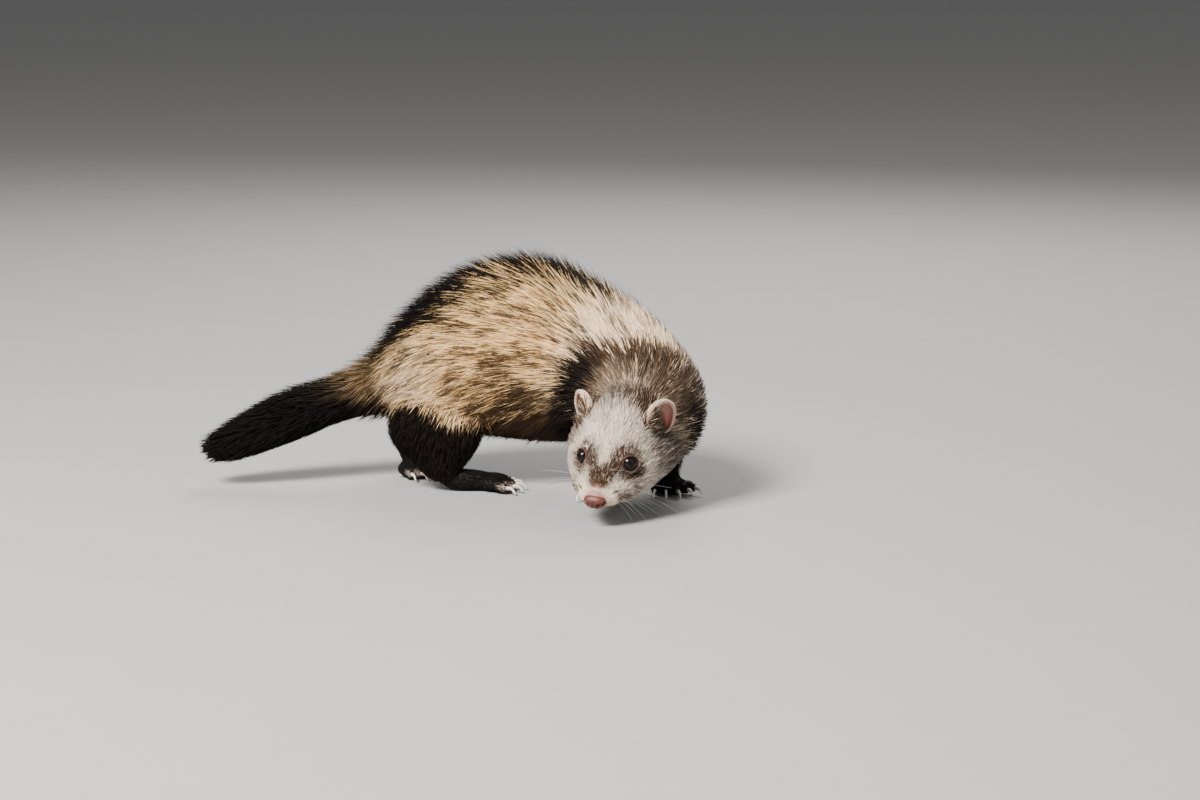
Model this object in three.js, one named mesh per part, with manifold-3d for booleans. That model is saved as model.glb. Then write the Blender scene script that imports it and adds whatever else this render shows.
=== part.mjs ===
// A life-size ferret, standing low with its back arched and its head turned down towards the viewer.
// Millimetres, +Z up. +X runs from the tail to the shoulders and -Y is the side that the head faces.
// The floor is z = 0 and the origin is the middle of the animal's footprint on it.
import * as THREE from "three";
import { mergeVertices } from "three/addons/utils/BufferGeometryUtils.js";
import Module from "manifold-3d";

const wasm = await Module();
wasm.setup();
const { Manifold } = wasm;

const V = (x, y, z) => new THREE.Vector3(x, y, z);
const UP = V(0, 0, 1);
const GAP = 0.32; // left between two nodes that touch
const SKULL_GAP = 0.42; // wider round the head and the ears, whose facets are coarser
const EAR_GAP = 0.6;
// The middle of the outline, in the coordinates that the sizes below use
const FOOTPRINT_MIDDLE = V(-26, -43, 0);

// Colours and gloss
const finish = (color, roughness) => new THREE.MeshStandardMaterial({ color, roughness, metalness: 0 });
const FINISH = {
  cream: finish(0xc4ab82, 0.85),
  sable: finish(0x6d5a4b, 0.85),
  dark: finish(0x2a211c, 0.8),
  mask: finish(0xd8cfc6, 0.85),
  ear: finish(0xd9a896, 0.7),
  nose: finish(0xc98378, 0.45),
  eye: finish(0x120c0a, 0.08),
  claw: finish(0xd9cdbb, 0.4),
};

// Spine, from the tip of the tail to the nape: middle of each section, then its half width, rise and drop
const SPINE = [
  { at: [-169, -12, 20], half: [3, 3, 3] }, // tip of the tail
  { at: [-161, -11, 22.5], half: [9.5, 9.5, 9.5] },
  { at: [-147, -8, 28.5], half: [12.5, 12.5, 12.5] },
  { at: [-122, -3, 39.5], half: [14.5, 15, 15] }, // fullest part of the brush
  { at: [-100, 2, 47], half: [13.5, 13.8, 13.8] },
  { at: [-76, 7, 55], half: [15, 15, 16] }, // root of the tail
  { at: [-61, 8, 61], half: [25, 19, 24] }, // rump
  { at: [-42, 6, 68], half: [35, 32, 36] }, // hips
  { at: [-15, 3, 74], half: [38, 47.5, 46] }, // loin
  { at: [15, -3, 76], half: [38, 55, 50] }, // top of the arch
  { at: [44, -9, 74], half: [37, 46.5, 49] }, // ribs
  { at: [66, -21, 68.5], half: [35, 39.5, 42] }, // shoulders
  { at: [80, -38, 60], half: [33.5, 37.5, 37] }, // breast
  { at: [86.5, -57, 53], half: [31.5, 33.5, 31] }, // neck
  { at: [84, -77, 48], half: [25, 28, 26] }, // nape
  { at: [73, -91, 44], half: [9, 12, 12] }, // inside the head
];
// The lengths that the spine is parted into, by section number, with the coat on each
const LENGTHS = [
  { name: "tail_tip", from: 0, to: 2.7, sides: 12, look: "dark", coat: "brush" },
  { name: "tail_base", from: 2.7, to: 5.1, sides: 12, look: "sable", coat: "brush" },
  { name: "rump", from: 5.1, to: 7.5, sides: 20, look: "cream", coat: "body" },
  { name: "loin", from: 7.5, to: 9.5, sides: 20, look: "cream", coat: "body" },
  { name: "chest", from: 9.5, to: 12.3, sides: 20, look: "cream", coat: "body" },
  { name: "neck", from: 12.3, to: 15, sides: 20, look: "sable", coat: "ruff" },
];
const RING_LENGTH = 11; // between the rings of a core, about

// Coat: depth is from the core out to the tips; rows and neighbours in a row are pitch and width apart
const COATS = {
  brush: { depth: 5, pitch: 15.5, width: 15, length: 27 },
  body: { depth: 6.5, pitch: 20, width: 22, length: 34 },
  ruff: { depth: 4.5, pitch: 16, width: 18, length: 26 },
};
const LOCK = {
  root: 3, // how far the root goes into the core
  clear: 12, // from a row's roots back to the next node, so that its locks pass over that node's core
  rise: [-1, 0.5, 0.8, 1.05], // height of the middle at each station, as a share of the coat's depth
  wide: [0.62, 0.94, 0.7, 0], // width there, as a share of the lock's own
  thick: [1.2, 1.25, 0.85, 0], // half the thickness there
  covered: 0.3, // share of a lock that a leg may cover: past it the lock is left out
};
// Radians from the ridge of the back: past it there are no locks and the core fills the outline
const BARE_BELLY = 2.5;
// Radians between a lock and the spine, by where on the body it grows, and how much of that the tail has
const LIE = { back: 0.1, belly: 0.75, tail: 0.3 };
// How unevenly the locks grow: shares of a place, millimetres, and shares of their own sizes
const UNEVEN = { around: 0.12, along: 2, length: 0.1, width: 0.04, depth: 0.06, lie: 0.08 };

// Head, in its own frame: x forward, y to the animal's left, z up, from the point midway between the eyes.
// Degrees, and yaw is from -Y towards +X.
const HEAD = { at: V(61.6, -112, 35.4), yaw: -20, pitch: -32, roll: -6 };
const SKULL_BACK = V(-27, 0, -8);
const SKULL_FRONT = V(9, 0, -10);
const EYE = { at: V(0.2, 12.6, -0.5), radius: 4.3, look: V(0.62, 0.58, 0.46) };
const EYE_OPENING = { half: V(4.1, 3.7, 3), out: 3.6 }; // out is from the middle of the eyeball
const LIDS = { radius: 3.7, thick: 0.85, out: 2.6, stretch: V(1.06, 0.97, 1) };
// Half sizes are deep, wide and tall; rim is how far in front of the middle the cup ends
const EAR = {
  at: V(-30, 22.5, 6),
  half: [6.2, 9.4, 10.6],
  wall: 1.5,
  rim: 1.2,
  look: V(0.6, 0.76, 0.12),
  lean: 16, // degrees outwards
};
const NOSE = { at: V(24.6, 0, -9), half: V(3.7, 5.6, 3.9), flare: 0.16 }; // flare makes it wider at the top
const NOSTRIL = { half: V(2.4, 1.35, 1.05), from: V(3.1, 2.9, -0.7), turn: 30, tilt: 28 };
const MOUTH = [
  // x and z of the line between the lips, from the middle of the front to the corner
  [25, -14.4],
  [21, -15],
  [15, -15.6],
  [8, -16.8],
  [2, -18.6],
  [-3, -20.8],
];
const LIPS = { radius: 1, above: 1.1, parting: 0.6 };

// Legs: the middle of each section, then its half size across the body and along it
const LEGS = {
  hind_leg_right: [
    { at: [-40, -12, 58], half: [11, 18] },
    { at: [-37, -20, 45], half: [13, 29] },
    { at: [-34, -24.5, 30], half: [13, 27] },
    { at: [-33, -26, 16], half: [9.5, 15] },
    { at: [-33, -26, 6], half: [7.5, 8.5] },
  ],
  hind_leg_left: [
    { at: [-42, 20, 64], half: [14, 20] },
    { at: [-45, 29, 50], half: [14.5, 22] },
    { at: [-52, 30, 37], half: [11, 15] },
    { at: [-58, 28, 28], half: [7.5, 9] },
    { at: [-57, 25, 21], half: [6, 6.5] },
  ],
  fore_leg_right: [
    { at: [64, -36, 54], half: [11, 13] },
    { at: [58, -42, 38], half: [11, 13] },
    { at: [56, -43, 22], half: [8.5, 9.5] },
    { at: [58, -42, 10], half: [7, 7.5] },
  ],
  fore_leg_left: [
    { at: [92, -30, 52], half: [11, 14] },
    { at: [97, -26, 38], half: [11, 13] },
    { at: [97, -25, 23], half: [8.5, 9.5] },
    { at: [97, -29, 10], half: [7, 7.5] },
  ],
};

// Feet: heel is where the leg meets them, ball is the middle of the roots of the toes, and heading is in
// degrees from +X towards +Y
const FEET = {
  hind_paw_right: {
    leg: "hind_leg_right",
    heel: V(-33, -26, 7),
    ball: V(-3, -27, 5.4),
    heading: -4,
    toe: 12.5,
  },
  hind_paw_left: {
    leg: "hind_leg_left",
    heel: V(-57, 24, 24),
    ball: V(-52, 13, 5.4),
    heading: -32,
    toe: 11.5,
  },
  fore_paw_right: {
    leg: "fore_leg_right",
    heel: V(58, -42, 11),
    ball: V(59, -48, 5.4),
    heading: -88,
    toe: 11,
  },
  fore_paw_left: {
    leg: "fore_leg_left",
    heel: V(97, -28, 11),
    ball: V(98, -36, 5.4),
    heading: -72,
    toe: 11.5,
  },
};
const TOES = 5;
const TOE_FAN = 14; // degrees between neighbours
const TOE_SPACING = 3.9;
const TOE_RADIUS = 2.9;
const TOE_LINE = [4.6, 4.7, 2.7]; // height of the root, knuckle and tip
const PAD = { half: V(9.5, 10, 5.6), height: 5 };
const INSTEP = [7.6, 6.8, 6.2]; // radius at the heel, the middle and the ball
const TOE_REACH = [0.7, 0.95, 1.06, 1, 0.8]; // of the longest toe's length, from the innermost toe out
// A claw starts inside the tip of the toe, at back from it, and curves down through those heights
const CLAW = { length: 7.5, radius: 1.15, point: 0.32, back: 1.4, heights: [3.7, 4, 0.9] };

// Solids
function solidOf(geometry) {
  const bare = geometry.clone();
  bare.deleteAttribute("normal");
  bare.deleteAttribute("uv");
  const merged = mergeVertices(bare, 1e-4);
  const corners = merged.index.array;
  const faces = [];
  for (let i = 0; i < corners.length; i += 3) {
    const [a, b, c] = [corners[i], corners[i + 1], corners[i + 2]];
    if (a !== b && b !== c && a !== c) faces.push(a, b, c);
  }
  const vertProperties = new Float32Array(merged.attributes.position.array);
  return new Manifold(new wasm.Mesh({ numProp: 3, vertProperties, triVerts: new Uint32Array(faces) }));
}

function largest(solid) {
  return solid.decompose().sort((a, b) => b.volume() - a.volume())[0];
}

function node(name, solid, look) {
  const made = largest(solid).getMesh();
  const positions = new Float32Array(made.numVert * 3);
  for (let i = 0; i < made.numVert; i++) {
    positions.set(made.vertProperties.subarray(i * made.numProp, i * made.numProp + 3), i * 3);
  }
  const geometry = new THREE.BufferGeometry();
  geometry.setAttribute("position", new THREE.BufferAttribute(positions, 3));
  geometry.setIndex(new THREE.BufferAttribute(made.triVerts, 1));
  geometry.computeVertexNormals();
  const mesh = new THREE.Mesh(geometry, FINISH[look]);
  mesh.name = name;
  return mesh;
}

// Moves every vertex of a geometry by a function of its place
function reshaped(geometry, move) {
  const places = geometry.attributes.position;
  for (let i = 0; i < places.count; i++) {
    const p = move(V().fromBufferAttribute(places, i));
    places.setXYZ(i, p.x, p.y, p.z);
  }
  return geometry;
}

// A path through sections, with their half sizes: it gives the frame of the section at u, from 0 to 1
function sectionsAlong(stations, upward = UP) {
  const path = new THREE.CatmullRomCurve3(stations.map((s) => V(...s.at)));
  path.curveType = "catmullrom";
  const halves = stations.map(({ half: [wide, rise, drop = rise] }) => V(wide, rise, drop));
  const sizes = new THREE.CatmullRomCurve3(halves);
  sizes.curveType = "catmullrom";
  return (u) => {
    const middle = path.getPoint(u);
    const along = path.getTangent(u);
    const side = V().crossVectors(along, upward).normalize();
    const up = V().crossVectors(side, along);
    const half = sizes.getPoint(u);
    return { middle, along, side, up, half };
  };
}

// The point of a section at an angle from its top, with its outline moved out by lift
function onSection({ middle, side, up, half }, angle, lift = 0) {
  const tall = Math.cos(angle) > 0 ? half.y : half.z;
  const reach = (size) => Math.max(size + lift, 0.8);
  const across = Math.sin(angle) * reach(half.x);
  return middle.clone().addScaledVector(side, across).addScaledVector(up, Math.cos(angle) * reach(tall));
}

// A closed tube through those sections, between two shares of the path
function tube(sectionAt, { from = 0, to = 1, rings, sides, lift = () => 0 }) {
  const stock = new THREE.CylinderGeometry(1, 1, 1, sides, rings);
  return solidOf(
    reshaped(stock, (p) => {
      const u = THREE.MathUtils.lerp(from, to, p.y + 0.5);
      const section = sectionAt(u);
      if (Math.hypot(p.x, p.z) < 0.5) return section.middle;
      const angle = Math.atan2(p.x, p.z);
      return onSection(section, angle, lift(u, angle));
    }),
  );
}

// A tapered round piece with domed ends through a few points: toes, claws and lips
function finger(points, radii, { rings = 4, sides = 7, grow = 0, blunt = 0.3 } = {}) {
  const path = new THREE.CatmullRomCurve3(points);
  const sizes = new THREE.CatmullRomCurve3(radii.map((r, i) => V(i, r, 0)));
  const stock = new THREE.CylinderGeometry(1, 1, 1, sides, rings);
  return solidOf(
    reshaped(stock, (p) => {
      const u = 0.5 - 0.5 * Math.cos(Math.PI * (p.y + 0.5)); // rings close up towards both ends
      const along = path.getTangent(u);
      const side = V().crossVectors(along, UP).normalize();
      const up = V().crossVectors(side, along);
      const dome = Math.max(blunt, Math.sin(Math.PI * (p.y + 0.5)) ** 0.4);
      const reach = sizes.getPoint(u).y * dome + grow;
      const longer = dome === blunt ? Math.sign(u - 0.5) * grow : 0;
      const middle = path.getPoint(u).addScaledVector(along, longer);
      return middle.addScaledVector(side, p.x * reach).addScaledVector(up, p.z * reach);
    }),
  );
}

// Fields: negative inside, in millimetres near the surface
const ellipsoid = (middle, half) => (p) => {
  const q = p.clone().sub(middle);
  const near = q.clone().divide(half).length();
  const steep = q.clone().divide(half).divide(half).length();
  return steep < 1e-9 ? -Math.min(half.x, half.y, half.z) : (near * (near - 1)) / steep;
};
const taper = (a, b, ra, rb) => {
  const axis = new THREE.Line3(a, b);
  return (p) => {
    const t = axis.closestPointToPointParameter(p, true);
    return p.distanceTo(axis.at(t, V())) - THREE.MathUtils.lerp(ra, rb, t);
  };
};
function blend(a, b, soft) {
  const h = Math.max(soft - Math.abs(a - b), 0) / soft;
  return Math.min(a, b) - (h * h * soft) / 4;
}
const both = (make) => [make(1), make(-1)];

// The head's flesh: brain case, cheeks, bridge, whisker pads, jaw, chin and brows run into one another
const FLESH = [
  [ellipsoid(V(-28, 0, -3.5), V(24, 23, 20.5)), 1],
  ...both((s) => [ellipsoid(V(-17, s * 15, -14), V(19, 13.5, 15)), 7]),
  ...both((s) => [ellipsoid(V(-28, s * 18, -17), V(15, 13.5, 14)), 5]),
  [taper(V(-10, 0, -3.5), V(12, 0, -6.2), 13, 8), 6],
  ...both((s) => [ellipsoid(V(0, s * 10.5, -14.5), V(14, 10, 9)), 6]),
  [taper(V(-14, 0, -20), V(14, 0, -14.8), 12, 5.5), 6],
  ...both((s) => [ellipsoid(V(13, s * 6, -10.5), V(9.5, 7.4, 6.4)), 4]),
  ...both((s) => [ellipsoid(V(-3, s * 8.8, -0.6), V(9.5, 7, 7.6)), 5]),
  ...both((s) => [ellipsoid(V(-0.4, s * 12.1, -0.9), V(5.2, 5, 5.2)), 2.5]),
  [ellipsoid(V(21.5, 0, -8.6), V(4.8, 6, 4.8)), 3],
];
function headField(p) {
  return FLESH.reduce((d, [part, soft]) => blend(d, part(p), soft), 1e3);
}

// The distance from a point along a direction to where the field is zero
function reachOf(field, from, direction, most = 45) {
  let near = 0;
  let far = most;
  for (let i = 0; i < 26; i++) {
    const half = (near + far) / 2;
    if (field(from.clone().addScaledVector(direction, half)) < 0) near = half;
    else far = half;
  }
  return near;
}

// A capsule whose points go out to the head's flesh
function headStock(grow = 0) {
  const length = SKULL_FRONT.distanceTo(SKULL_BACK);
  const slope = Math.atan2(SKULL_FRONT.z - SKULL_BACK.z, SKULL_FRONT.x - SKULL_BACK.x);
  const stock = new THREE.CapsuleGeometry(1, length, 6, 32, 10);
  const middle = SKULL_BACK.clone().lerp(SKULL_FRONT, 0.5);
  const lying = new THREE.Matrix4().makeRotationZ(-Math.PI / 2);
  const turn = new THREE.Matrix4().makeRotationY(-slope).multiply(lying);
  return reshaped(stock, (p) => {
    const y = THREE.MathUtils.clamp(p.y, -length / 2, length / 2);
    const direction = p.clone().setY(p.y - y).normalize().transformDirection(turn);
    const from = V(0, y, 0).applyMatrix4(turn).add(middle);
    return from.addScaledVector(direction, reachOf(headField, from, direction) + grow);
  });
}

const mirrored = (v, s) => V(v.x, v.y * s, v.z);

function eyeball(s, grow = 0) {
  const at = mirrored(EYE.at, s);
  return solidOf(new THREE.SphereGeometry(EYE.radius + grow, 12, 8).translate(at.x, at.y, at.z));
}

function eyePlace(s, out) {
  const look = mirrored(EYE.look, s).normalize();
  const across = V().crossVectors(UP, look).normalize();
  const turn = new THREE.Matrix4().makeBasis(across, V().crossVectors(look, across), look);
  return turn.setPosition(mirrored(EYE.at, s).addScaledVector(look, out));
}

// The flesh opens over the eyeball
function eyeOpening(s) {
  const { half, out } = EYE_OPENING;
  const stock = new THREE.SphereGeometry(1, 12, 8).scale(half.x, half.y, half.z);
  return solidOf(stock.applyMatrix4(eyePlace(s, out)));
}

// A ring round the eyeball that stands for both lids
function lids(s) {
  const { radius, thick, out, stretch } = LIDS;
  const ring = new THREE.TorusGeometry(radius, thick, 5, 13).scale(stretch.x, stretch.y, stretch.z);
  return solidOf(ring.applyMatrix4(eyePlace(s, out))).subtract(eyeball(s, GAP));
}

// The cup of an ear: a bowl with a thin wall, open towards where it looks
function earPlace(s) {
  const look = mirrored(EAR.look, s).normalize();
  const across = V().crossVectors(UP, look).normalize();
  const turn = new THREE.Matrix4().makeBasis(across, V().crossVectors(look, across), look);
  turn.multiply(new THREE.Matrix4().makeRotationZ(THREE.MathUtils.degToRad(-s * EAR.lean)));
  return turn.setPosition(mirrored(EAR.at, s));
}

function earHull(s, grow = 0) {
  const [deep, wide, tall] = EAR.half;
  const stock = new THREE.SphereGeometry(1, 16, 10).scale(wide + grow, tall + grow, deep + grow);
  return stock.applyMatrix4(earPlace(s));
}

function earCup(s) {
  const place = earPlace(s);
  const [deep, wide, tall] = EAR.half;
  const inner = new THREE.SphereGeometry(1, 14, 8).scale(wide - EAR.wall, tall - EAR.wall, deep - EAR.wall);
  inner.translate(0, 0, EAR.wall * 0.6); // thicker at the bottom of the cup
  const front = new THREE.BoxGeometry(3 * wide, 3 * tall, 2 * deep).translate(0, 0, deep + EAR.rim);
  return solidOf(earHull(s))
    .subtract(solidOf(inner.applyMatrix4(place)))
    .subtract(solidOf(front.applyMatrix4(place)));
}

function nosePad(grow = 0) {
  const { at, half, flare } = NOSE;
  const stock = reshaped(new THREE.SphereGeometry(1, 14, 8), (p) => {
    const wide = half.y * (1 + flare * p.z) + grow;
    return p.multiply(V(half.x + grow, wide, half.z + grow)).add(at);
  });
  return solidOf(stock);
}

function nostrils() {
  return both((s) => {
    const { half, from, turn, tilt } = NOSTRIL;
    const hole = new THREE.SphereGeometry(1, 7, 5).scale(half.x, half.y, half.z);
    hole.rotateX(THREE.MathUtils.degToRad(s * tilt)).rotateZ(THREE.MathUtils.degToRad(s * turn));
    const at = mirrored(from, s).add(NOSE.at);
    return solidOf(hole.translate(at.x, at.y, at.z));
  });
}

// Points along the line between the lips, on the surface of the head
function mouthPoints(lift = 0) {
  const side = MOUTH.map(([x, z], i) => {
    const from = V(Math.min(x, 20), 0, z + lift);
    const direction = i === 0 ? V(1, 0, 0) : V(Math.max(0, x - 14) / 9, 1, 0).normalize();
    return from.clone().addScaledVector(direction, reachOf(headField, from, direction, 30));
  });
  return [...side.slice(1).reverse().map((p) => mirrored(p, -1)), ...side];
}

function alongMouth(radius, lift) {
  const points = mouthPoints(lift);
  return finger(points, points.map(() => radius), { rings: 12, sides: 4 });
}

function headSolid() {
  const flesh = solidOf(headStock());
  const lips = alongMouth(LIPS.radius, LIPS.above);
  return Manifold.union([flesh, lips])
    .subtract(Manifold.union([eyeOpening(1), eyeOpening(-1)]))
    .add(Manifold.union([lids(1), lids(-1)]))
    .subtract(Manifold.union([eyeball(1, GAP), eyeball(-1, GAP), nosePad(GAP)]))
    .subtract(alongMouth(LIPS.parting, 0));
}

function headParts() {
  const flesh = solidOf(headStock(SKULL_GAP));
  const parts = new THREE.Group();
  parts.add(node("head", headSolid(), "mask"));
  parts.add(node("nose", nosePad().subtract(Manifold.union(nostrils())), "nose"));
  for (const [side, s] of [["left", 1], ["right", -1]]) {
    parts.add(node(`eye_${side}`, eyeball(s), "eye"));
    parts.add(node(`ear_${side}`, earCup(s).subtract(flesh), "ear"));
  }
  return parts;
}

// Where the head's frame lies
function headPlace() {
  const [yaw, pitch, roll] = [HEAD.yaw, HEAD.pitch, HEAD.roll].map(THREE.MathUtils.degToRad);
  const forward = V(Math.sin(yaw) * Math.cos(pitch), -Math.cos(yaw) * Math.cos(pitch), Math.sin(pitch));
  const left = V(Math.cos(yaw), Math.sin(yaw), 0).applyAxisAngle(forward, roll);
  return new THREE.Matrix4().makeBasis(forward, left, V().crossVectors(forward, left)).setPosition(HEAD.at);
}

// Feet
function footFrame(foot) {
  const heading = THREE.MathUtils.degToRad(foot.heading);
  const forward = V(Math.cos(heading), Math.sin(heading), 0);
  return { forward, left: V(-forward.y, forward.x, 0) };
}

function toeLines(name, foot) {
  const { forward, left } = footFrame(foot);
  const inner = name.endsWith("left") ? -1 : 1; // the innermost toe is on the side of the other foot
  return TOE_REACH.map((share, i) => {
    const step = (i - (TOES - 1) / 2) * -inner;
    const way = forward.clone().applyAxisAngle(UP, THREE.MathUtils.degToRad(step * TOE_FAN));
    const root = foot.ball.clone().addScaledVector(left, step * TOE_SPACING).setZ(TOE_LINE[0]);
    const length = foot.toe * share;
    const knuckle = root.clone().addScaledVector(way, length * 0.5).setZ(TOE_LINE[1]);
    const tip = root.clone().addScaledVector(way, length).setZ(TOE_LINE[2]);
    return { root, knuckle, tip, way };
  });
}

function pawSolid(name, foot, grow = 0) {
  const { forward } = footFrame(foot);
  const half = PAD.half.clone().addScalar(grow);
  const pad = new THREE.SphereGeometry(1, 10, 6).scale(half.x, half.y, half.z);
  pad.rotateZ(THREE.MathUtils.degToRad(foot.heading)).translate(foot.ball.x, foot.ball.y, PAD.height);
  const instep = finger(
    [foot.heel, foot.heel.clone().lerp(foot.ball, 0.5), foot.ball.clone().addScaledVector(forward, 3)],
    INSTEP,
    { rings: 4, sides: 8, grow },
  );
  const thickness = [1, 1.04, 0.86].map((part) => part * TOE_RADIUS);
  const toes = toeLines(name, foot).map(({ root, knuckle, tip }) =>
    finger([root, knuckle, tip], thickness, { rings: 3, sides: 6, grow }),
  );
  return Manifold.union([solidOf(pad), instep, ...toes]);
}

function clawSolid({ tip, way }, grow = 0) {
  const root = tip.clone().addScaledVector(way, -CLAW.back).setZ(CLAW.heights[0]);
  const bend = root.clone().addScaledVector(way, CLAW.length * 0.6).setZ(CLAW.heights[1]);
  const point = root.clone().addScaledVector(way, CLAW.length).setZ(CLAW.heights[2]);
  const thickness = [CLAW.radius, CLAW.radius * 0.85, CLAW.point];
  return finger([root, bend, point], thickness, { rings: 3, sides: 4, grow });
}

const floor = solidOf(new THREE.BoxGeometry(600, 600, 60).translate(0, 0, -30));

// The body
const spineAt = sectionsAlong(SPINE);
const share = (section) => section / (SPINE.length - 1);

// Millimetres of the surface for each unit of u, at an angle round the body
function pace(u, angle) {
  const step = 1e-3;
  const middle = THREE.MathUtils.clamp(u, step, 1 - step);
  const [near, far] = [middle - step, middle + step].map((v) => onSection(spineAt(v), angle));
  return Math.max(near.distanceTo(far) / (2 * step), 60);
}

function coatDepth(u) {
  const length = LENGTHS.find(({ to }) => u <= share(to) + 1e-9);
  return COATS[length.coat].depth;
}

// How far the core stays inside the outline: the coat's depth, but little under the belly
function coreLift(u, angle) {
  const near = [-2, -1, 0, 1, 2].map((k) => THREE.MathUtils.clamp(u + 0.012 * k, 0, 1));
  const depth = near.reduce((sum, v) => sum + coatDepth(v), 0) / near.length;
  const bare = THREE.MathUtils.smoothstep(Math.abs(angle), BARE_BELLY - 0.5, BARE_BELLY + 0.3);
  return -depth * (1 - 0.75 * bare);
}

function coreSolid({ from, to, sides }, grow = 0) {
  const [start, end] = [share(from), share(to)];
  const reach = spineLength(start, end);
  const trim = ((GAP / 2) * (end - start)) / reach;
  const ends = { from: from > 0 ? start + trim : 0, to: end - trim };
  const rings = Math.round(reach / RING_LENGTH);
  return tube(spineAt, { ...ends, rings, sides, lift: (u, angle) => coreLift(u, angle) + grow });
}

function spineLength(start, end) {
  const steps = 40;
  const places = Array.from({ length: steps + 1 }, (_, i) => start + ((end - start) * i) / steps);
  const points = places.map((u) => spineAt(u).middle);
  return points.slice(1).reduce((sum, p, i) => sum + p.distanceTo(points[i]), 0);
}

// A seeded draw between -1 and 1, so that every build is the same
let seed = 7;
function draw() {
  seed = (seed * 16807) % 2147483647;
  return (seed / 2147483647) * 2 - 1;
}

// The stations of a lock: it leaves the core, lies back and a little down, and ends at the outline
function lockStations({ u, angle, length, depth, lie }) {
  const down = Math.sign(angle);
  const step = length / (LOCK.rise.length - 1);
  let at = { u, angle };
  return LOCK.rise.map((rise, k) => {
    if (k > 0) {
      const halfway = at.u - (step * Math.cos(lie)) / (2 * pace(at.u, at.angle));
      const { half } = spineAt(Math.max(halfway, 0));
      at = {
        u: Math.max(at.u - (step * Math.cos(lie)) / pace(halfway, at.angle), 0),
        angle: at.angle + (step * Math.sin(lie) * down * 2) / (half.x + half.y),
      };
    }
    return { ...at, lift: (k === 0 ? -LOCK.root : rise * depth) - depth };
  });
}

function lockSolid(lock, grow = 0) {
  const stations = lockStations(lock);
  const last = stations.length - 1;
  const stock = new THREE.CylinderGeometry(1, 1, 1, 4, last);
  return solidOf(
    reshaped(stock, (p) => {
      const k = Math.round((p.y + 0.5) * last);
      const { u, angle, lift } = stations[k];
      const { half } = spineAt(u);
      const aside = -p.x * ((LOCK.wide[k] * lock.width) / 2 + grow);
      const back = (aside * Math.sin(lock.lie) * Math.sign(angle)) / pace(u, angle);
      const turn = (aside * Math.cos(lock.lie) * 2) / (half.x + half.y);
      return onSection(spineAt(Math.max(u + back, 0)), angle + turn, lift + p.z * (LOCK.thick[k] + grow));
    }),
  );
}

// Where the locks of one length grow: rows round the body, each row set between those of the last
function lockPlaces({ from, to, coat }) {
  const { depth, pitch, width, length } = COATS[coat];
  const [start, end] = [share(from), share(to)];
  const reach = spineLength(start, end);
  const rows = Math.max(1, Math.round(reach / pitch));
  const places = [];
  for (let row = 0; row < rows; row++) {
    const u = start + ((end - start) * (LOCK.clear + (row * reach) / rows)) / reach;
    if (u > end) continue;
    const { half } = spineAt(u);
    const girth = Math.PI * (half.x + (half.y + half.z) / 2 - 2 * depth);
    const around = Math.max(5, Math.round(girth / width));
    for (let i = 0; i < around; i++) {
      const turn = ((i + (row % 2) / 2) / around) * 2 * Math.PI - Math.PI;
      const angle = turn + (draw() * UNEVEN.around * 2 * Math.PI) / around;
      if (coat !== "brush" && Math.abs(angle) > BARE_BELLY) continue;
      const lie = THREE.MathUtils.mapLinear(Math.abs(angle), 0, Math.PI, LIE.back, LIE.belly);
      places.push({
        u: u + (draw() * UNEVEN.along) / pace(u, angle),
        angle,
        length: length * (1 + UNEVEN.length * draw()),
        width: (girth / around) * (1 + UNEVEN.width * draw()),
        depth: depth * (1 + UNEVEN.depth * draw()),
        lie: lie * (coat === "brush" ? LIE.tail : 1) + UNEVEN.lie * draw(),
      });
    }
  }
  return places;
}

function legSolid(stations) {
  return tube(sectionsAlong(stations, V(-1, 0, 0)), { rings: 6, sides: 12 });
}

function bodyParts(place) {
  const parts = new THREE.Group();
  const hulls = [headStock(SKULL_GAP), earHull(1, EAR_GAP), earHull(-1, EAR_GAP)];
  const skull = Manifold.union(hulls.map((g) => solidOf(g.applyMatrix4(place))));
  const limbs = Manifold.union(
    Object.entries(FEET).flatMap(([name, foot]) => [legSolid(LEGS[foot.leg]), pawSolid(name, foot)]),
  );
  const grownLocks = [];
  let inFront = null; // the grown locks of the length in front
  for (const length of [...LENGTHS].reverse()) {
    const places = lockPlaces(length).filter((lock) => {
      const solid = lockSolid(lock);
      return solid.intersect(limbs).volume() < LOCK.covered * solid.volume();
    });
    let solid = Manifold.union([coreSolid(length), ...places.map((lock) => lockSolid(lock))]);
    if (inFront) solid = solid.subtract(inFront);
    if (length.name === "neck" || length.name === "chest") solid = solid.subtract(skull);
    parts.add(node(length.name, solid.subtract(floor), length.look));
    inFront = Manifold.union(places.map((lock) => lockSolid(lock, GAP)));
    grownLocks.push(inFront);
  }
  const trunk = Manifold.union([...LENGTHS.map((length) => coreSolid(length, GAP)), ...grownLocks]);
  for (const [name, foot] of Object.entries(FEET)) {
    const toes = toeLines(name, foot);
    const sockets = toes.map((toe) => clawSolid(toe, GAP));
    const leg = legSolid(LEGS[foot.leg]).subtract(trunk).subtract(pawSolid(name, foot, GAP)).subtract(floor);
    const paw = pawSolid(name, foot).subtract(floor).subtract(Manifold.union(sockets));
    parts.add(node(foot.leg, leg, "dark"));
    parts.add(node(name, paw, "dark"));
    const clawName = name.replace(/(\w+)_paw/, "claw_$1");
    toes.forEach((toe, i) => parts.add(node(`${clawName}_${i + 1}`, clawSolid(toe), "claw")));
  }
  return parts;
}

const ferret = new THREE.Group();
const place = headPlace();
const head = headParts();
head.applyMatrix4(place);
ferret.add(head, bodyParts(place));
ferret.position.copy(FOOTPRINT_MIDDLE).negate();

export default ferret;
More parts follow.
